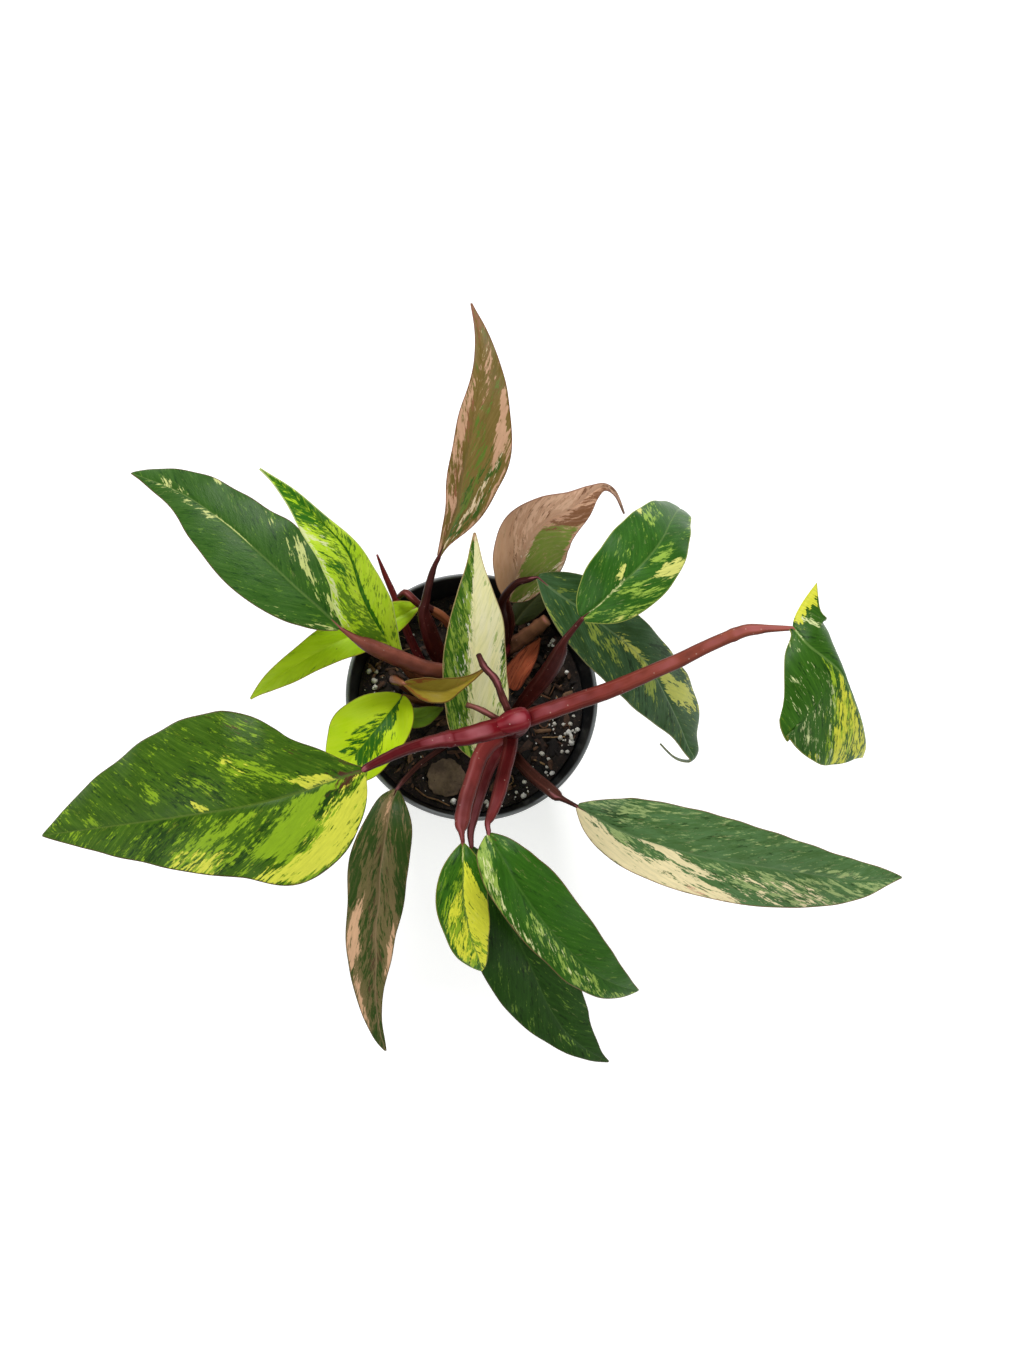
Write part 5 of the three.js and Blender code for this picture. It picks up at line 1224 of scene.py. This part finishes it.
TAN_STEM = [
    (12.5, 20.5, 78, 3.2, 2.6), (18, 24, 83, 3.2, 2.4), (24, 27.5, 89, 3, 2.2),
    (30.5, 32, 95, 2.6, 1.8),
]
ROOT_LONG = [
    (9.5, -21, 147, 1.4, 1.4), (5.5, -13.5, 151, 1.3, 1.3), (3, -8, 153, 1.3, 1.3),
    (-1, -3.5, 153, 1.2, 1.2), (-3, 1.5, 151, 1.0, 1.0),
]
ROOT_SHORT = [
    (6, -22.5, 148, 1.1, 1.1), (1, -20, 150, 1.1, 1.1), (-3, -18, 150, 1, 1),
    (-7, -16.5, 149, 0.9, 0.9),
]
STEM_FOOT = 64
CENTRE_STEM = [
    (14.5, -15.5, STEM_FOOT, 4.5, 4.5), (14.5, -15.5, 77, 4.5, 4.5), (14, -17.5, 100, 4.3, 4.3),
    (12.5, -20, 125, 4.6, 4.6), (11.8, -21.8, 142, 4.8, 4.8), (12, -22, 149, 4.2, 4.2),
    (12, -22, 150.2, 2.6, 2.6),
]
LEFT_STEM = [
    (-6, 6.5, STEM_FOOT, 4.5, 4.5), (-6, 6.5, 77, 4.5, 4.5), (-6, 6.5, 84, 4.5, 4.5),
    (-6.5, 6.5, 89, 3.4, 3.4),
]
RIGHT_STEM = [
    (12.7, 21.5, STEM_FOOT, 4, 4), (12.7, 21.5, 77, 4, 4), (12.7, 21.5, 82, 4, 4),
    (13, 22, 86, 3, 3),
]
SEEDLING_STEM = [
    (-17, -0.5, STEM_FOOT, 1.8, 1.8), (-17, -0.5, 77, 1.8, 1.8), (-17, -0.5, 79, 1.4, 1.4),
]
GREEN_STEM = [(-29, -5.5, STEM_FOOT, 1, 1), (-29, -5.5, 77, 1, 1), (-29, -5.5, 78.5, 0.9, 0.9)]
SOUTHWEST_STEM = [
    (-3, -15.5, STEM_FOOT, 1.3, 1.3), (-3, -15.5, 77, 1.3, 1.3), (-3.2, -15.7, 78.5, 1.2, 1.2),
]

# %% Grow the stalks
stalk_skin = stalk_material("waxed_red_stalk")
root_skin = stalk_material("corky_root", 0.6, 0.3)
# The tone of each stalk near the stem and near its blade
STALK_TONES = {
    "west_large": ("72101a", "4c161a"), "east_far": ("640a14", "985440"),
    "south_long": ("64181a", "642424"), "south_small": ("84302e", "84403c"),
    "south_dark": ("5a1a1e", "5c2424"), "centre_cream": ("4c201c", "5c2c22"),
    "northeast": ("642820", "4c2220"), "southeast": ("48281e", "42201a"),
    "northwest": ("9c5c4a", "8a4c3e"), "northwest_lime": ("642e26", "8a5a34"),
    "north": ("662420", "4c2220"), "west_lime": ("761f22", "8a5a34"),
    "new_spike": ("5c2224", "761f22"), "dry_sheath": ("54241e", "642a24"),
    "east_dark": ("401814", "3c1a18"), "north_pink": ("502018", "744034"),
    "shaded": ("341612", "42281a"), "small_lime": ("744034", "866434"),
    "curled_caramel": ("7c4838", "906040"), "small_green": ("543424", "565428"),
    "southwest": ("301a16", "3c201c"),
}
STEM_TONES = ("401c16", "6c1c24")


def into_blade(name):
    """A stalk's points, run on under the start of its blade's midrib."""
    points = list(PETIOLES[name])
    if name not in LEAVES:
        return points
    rib = LEAVES[name]["rib"]
    read = curve_through(rib, [0.0, 0.035, 0.08])[0]
    for (x, y, z), half in zip(read, (0.8, 0.6, 0.3)):
        points.append((x, y, z - 0.5, half, half * 0.8))
    return points


SHOOTS = {
    "centre_shoot": (CENTRE_STEM, (
        "west_large", "east_far", "south_long", "south_small", "south_dark",
        "centre_cream", "northeast", "southeast",
    ), "red_petiole"),
    "left_shoot": (LEFT_STEM, (
        "northwest", "northwest_lime", "north", "west_lime", "new_spike", "dry_sheath",
    ), "dark_petiole"),
    "right_shoot": (RIGHT_STEM, ("east_dark", "north_pink", "shaded"), "dark_petiole"),
    "seedling_stalks": (SEEDLING_STEM, ("small_lime", "curled_caramel"), "dark_petiole"),
    "green_seedling_stalk": (GREEN_STEM, ("small_green",), "dark_petiole"),
    "southwest_stalk": (SOUTHWEST_STEM, ("southwest",), "dark_petiole"),
}
# Ring scars: millimetres along the stalk, and how far the ring stands out
SCARS = {
    "west_large": [(29, 0.14), (31.5, 0.08)], "east_far": [(84, 0.1)], "south_small": [(46, 0.1)],
}
for node, (stem, stalks, slot) in SHOOTS.items():
    tubes = [tube(stem, channel=0.0)]
    tones = [STEM_TONES]
    for order, name in enumerate(stalks):
        tubes.append(tube(into_blade(name), seed=float(order), rings=SCARS.get(name, ())))
        tones.append(STALK_TONES[name])
    points, faces, attributes = tinted(tubes, tones)
    add_piece("stalks_" + node, points, faces, stalk_skin, [node], attributes)
    print("stalks of", node, len(points), "points")

# %% [markdown]
# ## Roots, the dry stem and the knob
# Two aerial roots and an old dry stem are tubes with rings, in a duller, corkier skin.
# Where the two longest stalks part, the stem ends in a swollen, glossy knob.

# %% Aerial roots, the dry stem and the knob
ROOT_RINGS = [(mm, 0.12) for mm in range(2, 30, 3)]
for name, line, tones, node, slot in (
    ("aerial_root_long", ROOT_LONG, ("5c2c26", "3c1c18"), "centre_shoot", "red_petiole"),
    ("aerial_root_short", ROOT_SHORT, ("5c3028", "6c4434"), "centre_shoot", "red_petiole"),
    ("dry_stem", TAN_STEM, ("5e4030", "8a6044"), "right_shoot", "dark_petiole"),
):
    made = tube(line, channel=0.0, lumps=0.08, rings=ROOT_RINGS)
    points, faces, attributes = tinted([made], [tones])
    add_piece(name, points, faces, root_skin, [node], attributes)
    print(name, len(points), "points")
NODE_KNOB = [
    (-1, -25.9, 149.6, 1.6, 1.4), (4.5, -24.3, 150.4, 3, 2.5), (8.5, -23, 150.9, 4.3, 3.8),
    (12.2, -21.8, 151, 4.5, 4.2), (14.6, -21, 150.8, 3.6, 3.4), (15.6, -20.7, 150.6, 1.6, 1.6),
]
points, faces, attributes = tinted([tube(NODE_KNOB, channel=0.0)], [("741019", "801c28")])
add_piece("stem_knob", points, faces, stalk_skin, ["centre_shoot"], attributes)

# %% [markdown]
# ## The pot
# A thin nursery pot, vacuum formed or moulded from black polypropylene: plain, a little
# glossy, with a collar that steps out under a rolled lip. It is a turned profile with
# more segments than the CAD solid has, and its drain holes are cut through the floor.

# %% Pot
RIM_R = 52.5
POT_H = 92.0
BASE_R = 37.5
COLLAR_Z = 84.0
COLLAR_R = 50.4
WALL = 1.4
FLOOR = 2.4
POT_SEGMENTS = 160
DRAIN_HOLES = 6
DRAIN_R = 4.0
DRAIN_RING_R = 25.0
# How far down from the top the painted highlight on the lip reaches
LIP_HIGHLIGHT_MM = 1.3
PLASTIC_IOR = 1.49


def wall_at(z):
    """The pot's outer radius at a height."""
    return BASE_R + (COLLAR_R - BASE_R) * z / COLLAR_Z


POT_PROFILE = [
    (0, 0), (18, 0), (BASE_R - 1.6, 0), (BASE_R - 0.8, 0.25), (wall_at(1.2), 1.2),
    (wall_at(10), 10), (wall_at(30), 30), (wall_at(56), 56), (wall_at(82), 82),
    (COLLAR_R, COLLAR_Z), (RIM_R - 1.3, COLLAR_Z + 0.3), (RIM_R - 0.8, COLLAR_Z + 0.8),
    (RIM_R - 0.35, 88), (RIM_R, POT_H - 1.4), (RIM_R - 0.1, POT_H - 0.7),
    (RIM_R - 0.45, POT_H - 0.2), (RIM_R - 0.9, POT_H), (RIM_R - 1.4, POT_H - 0.25),
    (RIM_R - 1.8, POT_H - 1.2), (COLLAR_R - 0.3, COLLAR_Z + 1.2),
    (COLLAR_R - WALL, COLLAR_Z - 1), (wall_at(60) - WALL, 60), (wall_at(30) - WALL, 30),
    (wall_at(FLOOR) - WALL, FLOOR), (18, FLOOR), (0, FLOOR),
]


def turned(profile, segments):
    """Points and faces of a closed turned body; its first and last radius are zero."""
    angle = 2 * math.pi * np.arange(segments) / segments
    inner = np.array(profile[1:-1], float)
    ring = np.stack([
        inner[:, :1] * np.cos(angle), inner[:, :1] * np.sin(angle),
        np.repeat(inner[:, 1:], segments, 1),
    ], -1)
    ends = np.array([[0, 0, profile[0][1]], [0, 0, profile[-1][1]]], float)
    return np.vstack([ring.reshape(-1, 3), ends]), ring_faces(len(inner), segments)


def plastic_material():
    """Black polypropylene: a soft gloss, flow marks from the mould and a painted highlight along the lip,
    broken up like scuffs.
    """
    material, tree, shader = new_material("black_polypropylene", 0.38, PLASTIC_IOR)
    place = add_node(tree, "NewGeometry").outputs["Position"]
    flow = add_node(tree, "TexNoise", place, scale=60.0, detail=5.0)
    grain = add_node(tree, "TexNoise", place, scale=1400.0, detail=2.0)
    dust = add_node(tree, "MapRange", flow, 0.5, 0.8, 0.0, 0.5)
    colour = add_node(tree, "MixRGB", dust, linear("131517"), linear("24282a"))
    height = add_node(tree, "SeparateXYZ", place).outputs["Z"]
    # Painted highlight: the top of the lip is mixed towards pale grey, broken up by the flow noise as
    # scuffs would be
    painted_lip_highlight = add_node(tree, "MapRange", height, (POT_H - LIP_HIGHLIGHT_MM) * MM, POT_H * MM, 0.0, 1.0)
    lip_highlight_and_scuffs = add_node(tree, "Math", painted_lip_highlight, flow, operation="MULTIPLY")
    colour = add_node(tree, "MixRGB", lip_highlight_and_scuffs, colour, linear("a0a4a8"))
    rough = add_node(tree, "MapRange", flow, 0.0, 1.0, 0.3, 0.5)
    tree.links.new(rough.outputs[0], shader.inputs["Roughness"])
    finish_surface(tree, shader, colour, grain, 0.25, 0.1)
    return material


def cut_holes(piece, drills):
    """Cuts drills out of a piece and keeps the result as its mesh."""
    cut = piece.modifiers.new("holes", "BOOLEAN")
    cut.operation = "DIFFERENCE"
    cut.solver = "EXACT"
    cut.object = drills
    shown = piece.evaluated_get(bpy.context.evaluated_depsgraph_get())
    made = bpy.data.meshes.new_from_object(shown)
    piece.modifiers.clear()
    piece.data = made
    bpy.data.objects.remove(drills)


black_plastic = plastic_material()
points, faces = turned(POT_PROFILE, POT_SEGMENTS)
pot = add_piece("nursery_pot", points, faces, black_plastic, ["pot"])
points, faces = turned([(0, -3), (DRAIN_R, -3), (DRAIN_R, 3 * FLOOR), (0, 3 * FLOOR)], 32)
drill_parts = []
for i in range(DRAIN_HOLES):
    angle = 2 * math.pi * i / DRAIN_HOLES
    aside = [DRAIN_RING_R * math.cos(angle), DRAIN_RING_R * math.sin(angle), 0]
    drill_parts.append((points + aside, faces))
drills = bpy.data.objects.new("drills", new_mesh("drills", *join(drill_parts)))
bpy.context.scene.collection.objects.link(drills)
cut_holes(pot, drills)
print("pot:", len(pot.data.polygons), "faces")

# %% [markdown]
# ## The potting mix
# An open aroid mix: composted bark, coir fibre and perlite. Its surface is a fine
# displaced sheet with crumbs; bark chips, white perlite grains and fibres lie on it as
# real small meshes, because they throw the little shadows that make soil look like soil.

# %% Mix surface
MIX_Z = 74.0
MIX_SWELL = 1.1
CLEAR = 0.3
CRUMB_MM = 0.9
BANK_MM = 7.0
BANK_LEFT = 0.35
BANK_FROM = 37.0
BANK_TO = 48.5
DRY_IOR = 1.45


def mix_height(x, y):
    """Height of the mix at a place, as in the CAD source."""
    swell = np.sin(0.11 * x + 0.6) * np.cos(0.13 * y - 0.4)
    lump = 0.5 * np.sin(0.31 * x - 0.23 * y + 1.1)
    return MIX_Z + MIX_SWELL * (0.7 * swell + 0.6 * lump)


def crumb_height(x, y):
    """Small crumbs, and the bank of mix against the wall, which is higher on the right."""
    big = noise.fractal(Vector((0.35 * x, 0.35 * y, 3.0)), 1.0, 2.1, 4)
    away = math.hypot(x, y)
    share = BANK_LEFT + (1 - BANK_LEFT) * max(0.0, x) / (away + 1.0)
    bank = float(smooth_step(BANK_FROM, BANK_TO, away))
    return CRUMB_MM * big + BANK_MM * share * bank


def soil_body(rings=78, segments=260):
    """Points and faces of the mix: a crumbly top, a cone side and a flat bottom."""
    edge = wall_at(MIX_Z + BANK_MM - 2) - WALL - CLEAR
    radius = edge * np.arange(1, rings + 1) / rings
    angle = 2 * math.pi * np.arange(segments) / segments
    x = radius[:, None] * np.cos(angle)
    y = radius[:, None] * np.sin(angle)
    z = mix_height(x, y) + np.vectorize(crumb_height)(x, y)
    inside = np.minimum(1.0, (wall_at(z) - WALL - CLEAR) / radius[:, None])
    x = x * inside
    y = y * inside
    base = FLOOR + CLEAR
    foot = wall_at(base) - WALL - CLEAR
    low = np.stack([foot * np.cos(angle), foot * np.sin(angle), np.full(segments, base)], -1)
    ring = np.vstack([np.stack([x, y, z], -1).reshape(-1, 3), low])
    centres = np.array([[0, 0, float(mix_height(0, 0))], [0, 0, base]])
    return np.vstack([ring, centres]), ring_faces(rings + 1, segments)


def crumb_material(name, dark, light, pale, crumb_mm, roughness=0.95):
    """Rough crumbly stuff in three tones."""
    material, tree, shader = new_material(name, roughness, DRY_IOR)
    place = add_node(tree, "NewGeometry").outputs["Position"]
    scale = 1 / (crumb_mm * MM)
    crumbs = add_node(tree, "TexNoise", place, scale=scale / 3, detail=6.0, roughness=0.65)
    toned = add_node(tree, "MapRange", crumbs, 0.38, 0.66)
    colour = add_node(tree, "MixRGB", toned, linear(dark), linear(light))
    grit = add_node(tree, "TexNoise", place, scale=scale, detail=2.0)
    flecked = add_node(tree, "MapRange", grit, 0.66, 0.74)
    colour = add_node(tree, "MixRGB", flecked, colour, linear(pale))
    finish_surface(tree, shader, colour, crumbs, 0.9, 0.6)
    return material


peat = crumb_material("composted_bark_and_peat", "0d0a09", "2e221c", "64503f", 1.0)
points, faces = soil_body()
add_piece("mix_surface", points, faces, peat, ["potting_mix"])
print("mix surface:", len(points), "points")

# %% [markdown]
# ## What lies on the mix
# Bark chips are flat, blocky and dark; perlite is puffed white volcanic glass in grains
# of a millimetre or two; coir and old roots are brown threads. Each is a small lump or
# a thin tube, scattered with a fixed seed, and more of the white grains lie where the
# photograph shows them gathered. One mesh holds each kind, so the scene stays light.

# %% Chips, perlite and threads
MIX_EDGE = 48.0
CHIP_COUNT = 700
PERLITE_COUNT = 190
THREAD_COUNT = 60
LUMP_ROWS = 6
LUMP_SIDES = 10
CHIP_BLOCKY = 0.55
GRAIN_BLOCKY = 0.8
FALLEN_X = -10.0
FALLEN_Y = -33.0
FALLEN_R = 8.3
chance = np.random.default_rng(7)


def squared(wave, power):
    """Sines or cosines bent so that a round form turns blocky."""
    return np.sign(wave) * np.abs(wave) ** power


def lump(centre, half, blocky, rng):
    """One irregular lump, turned at random, lying nearly flat."""
    latitude = np.linspace(-math.pi / 2, math.pi / 2, LUMP_ROWS + 2)[1:-1]
    longitude = 2 * math.pi * np.arange(LUMP_SIDES) / LUMP_SIDES
    ring = squared(np.cos(latitude), blocky)[:, None]
    x = ring * squared(np.cos(longitude), blocky)
    y = ring * squared(np.sin(longitude), blocky)
    z = squared(np.sin(latitude), blocky)[:, None] + 0 * x
    shape = np.stack([x, y, z], -1).reshape(-1, 3)
    shape = np.vstack([shape, [[0, 0, -1], [0, 0, 1]]])
    shape = shape * (1 + 0.14 * rng.standard_normal(shape.shape)) * half
    turn = rng.uniform(0, 2 * math.pi)
    tilt = rng.normal(0, 0.28)
    about_z = np.array(Matrix.Rotation(turn, 3, "Z"))
    about_x = np.array(Matrix.Rotation(tilt, 3, "X"))
    return shape @ about_x.T @ about_z.T + centre


def on_mix(x, y, lift):
    """A point that stands a little above the mix surface."""
    return np.array([x, y, float(mix_height(x, y)) + crumb_height(x, y) + lift])


def gather(lumps, tones):
    """Lumps as one set of points and faces, with a tone for each."""
    face = ring_faces(LUMP_ROWS, LUMP_SIDES)
    points, faces = join([(made, face) for made in lumps])
    return points, faces, np.repeat(tones, len(lumps[0]))


def free_spot(rng, margin):
    """A random place on the mix that isn't under the fallen leaf."""
    while True:
        angle = rng.uniform(0, 2 * math.pi)
        far = (MIX_EDGE - margin) * math.sqrt(rng.uniform())
        x = far * math.cos(angle)
        y = far * math.sin(angle)
        if math.hypot(x - FALLEN_X, y - FALLEN_Y) > FALLEN_R + margin:
            return x, y


chips = []
for i in range(CHIP_COUNT):
    long_half = 0.9 + 3.6 * chance.uniform() ** 2.2
    half = np.array([long_half, long_half * chance.uniform(0.22, 0.5), long_half * 0.16 + 0.22])
    x, y = free_spot(chance, long_half)
    chips.append(lump(on_mix(x, y, 0.25 * half[2]), half, CHIP_BLOCKY, chance))
chip_tones = chance.uniform(0, 1, CHIP_COUNT) ** 1.5

# Where white grains are gathered: x, y and spread in millimetres, and how many
PERLITE_SPOTS = [
    (42.5, -17.0, 5.0, 20), (38.0, -8.0, 4.0, 6), (-3.2, -43.5, 3.0, 6), (21.4, -39.0, 5.0, 7),
    (-42.5, 12.5, 1.6, 4), (34.8, 27.7, 3.0, 7), (44.0, 15.5, 3.0, 5), (17.0, 40.0, 3.0, 5),
    (-30.0, -17.0, 7.0, 4), (-39.5, 3.0, 3.0, 3), (30.0, -30.0, 7.0, 8), (8.0, -46.0, 4.0, 4),
]
# The largest grains, each given one by one: x, y and half width
LARGE_GRAINS = [
    (-41.3, 8.0, 1.4), (-40.8, 5.2, 1.1), (-40.6, 12.0, 0.8), (-39.2, 14.0, 0.6),
    (42.8, -17.9, 1.3), (42.0, -13.2, 1.3), (45.4, -12.4, 1.0), (42.8, -9.4, 0.9),
    (22.5, -40.5, 1.1), (34.5, -31.0, 1.1), (-7.0, -43.0, 1.3), (-4.6, -44.6, 0.8),
    (31.0, -22.0, 0.9), (33.5, -24.5, 0.7), (44.2, -6.0, 0.7), (35.5, 27.0, 1.1),
]


def white_grain(x, y, size, lift, least):
    """One white grain of a size, lifted by a share of it; least is its thinnest side."""
    half = size * chance.uniform(least, 1.15, 3)
    return lump(on_mix(x, y, lift * size), half, GRAIN_BLOCKY, chance)


grains = []
for x, y, size in LARGE_GRAINS:
    grains.append(white_grain(x, y, size, 0.5, 0.8))
for x, y, wide, count in PERLITE_SPOTS:
    for i in range(count):
        size = 0.35 + 0.9 * chance.uniform() ** 1.8
        gx = x + wide * chance.normal() * 0.6
        gy = y + wide * chance.normal() * 0.6
        if math.hypot(gx, gy) < MIX_EDGE - 1:
            grains.append(white_grain(gx, gy, size, 0.6, 0.7))
for i in range(PERLITE_COUNT):
    size = 0.2 + 0.4 * chance.uniform() ** 2
    x, y = free_spot(chance, 1.0)
    grains.append(white_grain(x, y, size, 0.5, 0.7))

threads = []
for i in range(THREAD_COUNT):
    x, y = free_spot(chance, 6.0)
    heading = chance.uniform(0, 2 * math.pi)
    bend = chance.normal(0, 0.5)
    step = chance.uniform(1.2, 3.6)
    thick = chance.uniform(0.12, 0.3)
    line = []
    for k in range(5):
        lift = 0.3 + 0.9 * math.sin(math.pi * k / 4) * chance.uniform()
        line.append((*on_mix(x, y, lift), thick, thick))
        heading += bend
        x += step * math.cos(heading)
        y += step * math.sin(heading)
    if math.hypot(x, y) < MIX_EDGE:
        threads.append(tube(line, channel=0.0, lumps=0.1, seed=float(i), sides=7))
# Twigs and loose rootlets, each as its places on the mix and its half width
for spots, thick in (
    ([(-12, -13.5), (-8.5, -18.5), (-4.5, -24.5)], 0.55),
    ([(-23, -37.5), (-18.5, -41), (-13.5, -42.6), (-8.5, -45)], 0.35),
    ([(26, 9), (30, 4.5), (35, 2.5)], 0.5),
    ([(21, 2), (27, 5), (31.5, 11)], 0.45),
    ([(32, -27), (27, -24.5), (22, -25.5)], 0.4),
):
    line = [(*on_mix(x, y, thick), thick, 0.8 * thick) for x, y in spots]
    threads.append(tube(line, channel=0.0, lumps=0.12, seed=spots[0][0], sides=9))


def toned_material(name, tones, roughness, grain_mm):
    """Rough natural stuff whose tone changes from piece to piece."""
    material, tree, shader = new_material(name, roughness, DRY_IOR)
    tone = add_node(tree, "Attribute", attribute_name="tone").outputs["Fac"]
    place = add_node(tree, "NewGeometry").outputs["Position"]
    grain = add_node(tree, "TexNoise", place, scale=1 / (grain_mm * MM), detail=4.0)
    shift = add_node(tree, "Math", grain, 0.5, -0.25, operation="MULTIPLY_ADD")
    ramp = add_node(tree, "ValToRGB", add_node(tree, "Math", tone, shift, operation="ADD"))
    spots = ramp.color_ramp.elements
    while len(spots) < len(tones):
        spots.new(1.0)
    for i, colour in enumerate(tones):
        spots[i].position = i / (len(tones) - 1)
        spots[i].color = linear(colour)
    finish_surface(tree, shader, ramp, grain, 0.7, 0.3)
    return material


bark = toned_material("bark_chip", ["0d0a09", "1e1512", "34241c", "503628", "7c5c42"], 0.85, 1.2)
perlite = toned_material("puffed_perlite", ["c8c2b6", "e6e2d8", "f4f2ec"], 0.9, 0.8)
coir = toned_material("coir_and_old_root", ["3a2418", "66442c", "a08058"], 0.8, 2.0)
for name, made, tones, stuff in (
    ("bark_chips", chips, chip_tones, bark),
    ("perlite_grains", grains, chance.uniform(0, 1, len(grains)), perlite),
):
    points, faces, tone = gather(made, tones)
    add_piece(name, points, faces, stuff, ["potting_mix"], {"tone": tone})
    print(name, len(made))
points, faces = join(threads)[:2]
thread_tones = np.repeat(chance.uniform(0, 1, len(threads)), [len(t[0]) for t in threads])
add_piece(
    "coir_threads", points, faces, coir, ["potting_mix"], {"tone": thread_tones}
)
print("threads", len(threads))

# %% [markdown]
# ## A fallen leaf and an old sheath
# A dry round leaf lies on the mix, thin and mottled, and an orange sheath that once
# wrapped a bud stands beside the dried stem. Dead leaf tissue is matt and brittle, so
# its edge is ragged and its colour is blotched instead of streaked.

# %% Fallen leaf and old sheath
FALLEN_T = 0.8
FALLEN_LIFT = 0.5


def fallen_leaf():
    """A thin disc with a ragged edge that follows the mix."""
    rings = 16
    sides = 72
    angle = 2 * math.pi * np.arange(sides) / sides
    ragged = 1 + 0.03 * np.sin(5 * angle + 1) + 0.03 * np.sin(11 * angle)
    ragged = ragged + 0.02 * np.sin(19 * angle)
    radius = FALLEN_R * 0.97 * np.arange(1, rings + 1)[:, None] / rings * ragged
    x = FALLEN_X + radius * np.cos(angle)
    y = FALLEN_Y + radius * np.sin(angle)
    z = mix_height(x, y) + FALLEN_LIFT
    cup = 0.35 * (radius / FALLEN_R) ** 3 + 0.12 * np.sin(0.9 * x) * np.cos(0.8 * y)
    upper = np.stack([x, y, z + FALLEN_T + cup], -1)[::-1]
    lower = np.stack([x, y, z + 0.2 * cup], -1)
    ring = np.concatenate([lower, upper]).reshape(-1, 3)
    base = float(mix_height(FALLEN_X, FALLEN_Y)) + FALLEN_LIFT
    ends = [[FALLEN_X, FALLEN_Y, base], [FALLEN_X, FALLEN_Y, base + FALLEN_T]]
    return np.vstack([ring, ends]), ring_faces(2 * rings, sides)


dead_leaf = crumb_material("dry_fallen_leaf", "4a3a2c", "7a6650", "2c2018", 2.2, 0.8)
points, faces = fallen_leaf()
add_piece("round_fallen_leaf", points, faces, dead_leaf, ["fallen_leaf"])
print("fallen leaf:", len(points), "points")
OLD_SHEATH = {
    "rib": [(17, 6, 76.6), (19, 11, 79.5), (22.5, 17, 82), (26, 22, 84), (29, 26.5, 85.5)],
    "left": [2, 4, 5.5, 6, 5.6, 5, 4.4, 3.4, 2, 0.8, 0.4],
    "right": [2, 3.5, 4.5, 5, 5.4, 5, 4.4, 3.4, 2, 0.8, 0.4],
    "fold": [14, 14],
    "curl": [20, 20],
    "sweep": 6.0,
}
SHEATH_TONES = tones_of("a04a30 b86040 8a4028 5c2c1c c07a54 8a4a32", brown="6a2e1e")
sheath_marks = [
    ("brown", "both", -2, 0.2, 0, 1, 0.5), ("brown", "both", -2, 2, 0, 1, 0.2),
]
points, faces, attributes = blade(OLD_SHEATH, sheath_marks)
sheath_skin = leaf_material("dry_orange_sheath", SHEATH_TONES, 0.2, 0.6, seed=91.0)
add_piece(
    "orange_sheath", points, faces, sheath_skin, ["old_sheath"], attributes
)

# %% [markdown]
# ## Light and floor
# The plant was photographed in a bright, even studio light on a white ground. A strong
# soft box above and behind it gives the waxy sheen, and two weaker ones fill the sides.
# The floor is a plain pale panel that is lit from inside a little, as a light table is,
# so that it stays white under the plant.

# %% Floor, lights and world
FLOOR_SIZE = 6.0
FLOOR_GLOW = 0.36
WORLD_GLOW = 0.4
LIGHTS_AIM = (0, 0, 0.1)
floor_mesh = bpy.data.meshes.new("floor")
half = FLOOR_SIZE / 2
floor_corners = [(-half, -half, 0), (half, -half, 0), (half, half, 0), (-half, half, 0)]
floor_mesh.from_pydata(floor_corners, [], [(0, 1, 2, 3)])
floor_paint, _, floor_shader = new_material("pale_studio_floor", 0.9, DRY_IOR)
floor_shader.inputs["Base Color"].default_value = linear("f6f6f6")
floor_shader.inputs["Emission Color"].default_value = linear("ffffff")
floor_shader.inputs["Emission Strength"].default_value = FLOOR_GLOW
floor_mesh.materials.append(floor_paint)
studio_floor = bpy.data.objects.new("studio_floor", floor_mesh)
bpy.context.scene.collection.objects.link(studio_floor)
studio_floor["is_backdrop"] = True


def soft_box(name, place, size, watts):
    """A square area light that looks at the plant; its place in metres."""
    data = bpy.data.lights.new(name, "AREA")
    data.shape = "SQUARE"
    data.size = size
    data.energy = watts
    lamp = bpy.data.objects.new(name, data)
    lamp.location = place
    lamp.rotation_mode = "QUATERNION"
    lamp.rotation_quaternion = (Vector(LIGHTS_AIM) - Vector(place)).to_track_quat("-Z", "Y")
    bpy.context.scene.collection.objects.link(lamp)


soft_box("window_soft_box", (-0.5, 2.2, 2.1), 1.0, 61.0)
soft_box("right_soft_box", (2.2, -1.2, 2.0), 1.4, 28.0)
soft_box("left_soft_box", (-2.2, -1.0, 2.0), 1.4, 28.0)
world = bpy.data.worlds.new("studio")
world.use_nodes = True
sky = world.node_tree.nodes["Background"].inputs
sky["Color"].default_value = linear("ffffff")
sky["Strength"].default_value = WORLD_GLOW
bpy.context.scene.world = world
bpy.context.scene.view_settings.view_transform = "Standard"

# %% [markdown]
# ## Sizes, and the end
# The boxes of the CAD model and of the visual model are printed side by side.

# %% Sizes
now_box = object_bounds()
for label, box in (("CAD box", cad_box), ("visual box", now_box)):
    print(label, [[round(v / MM, 1) for v in corner] for corner in box])
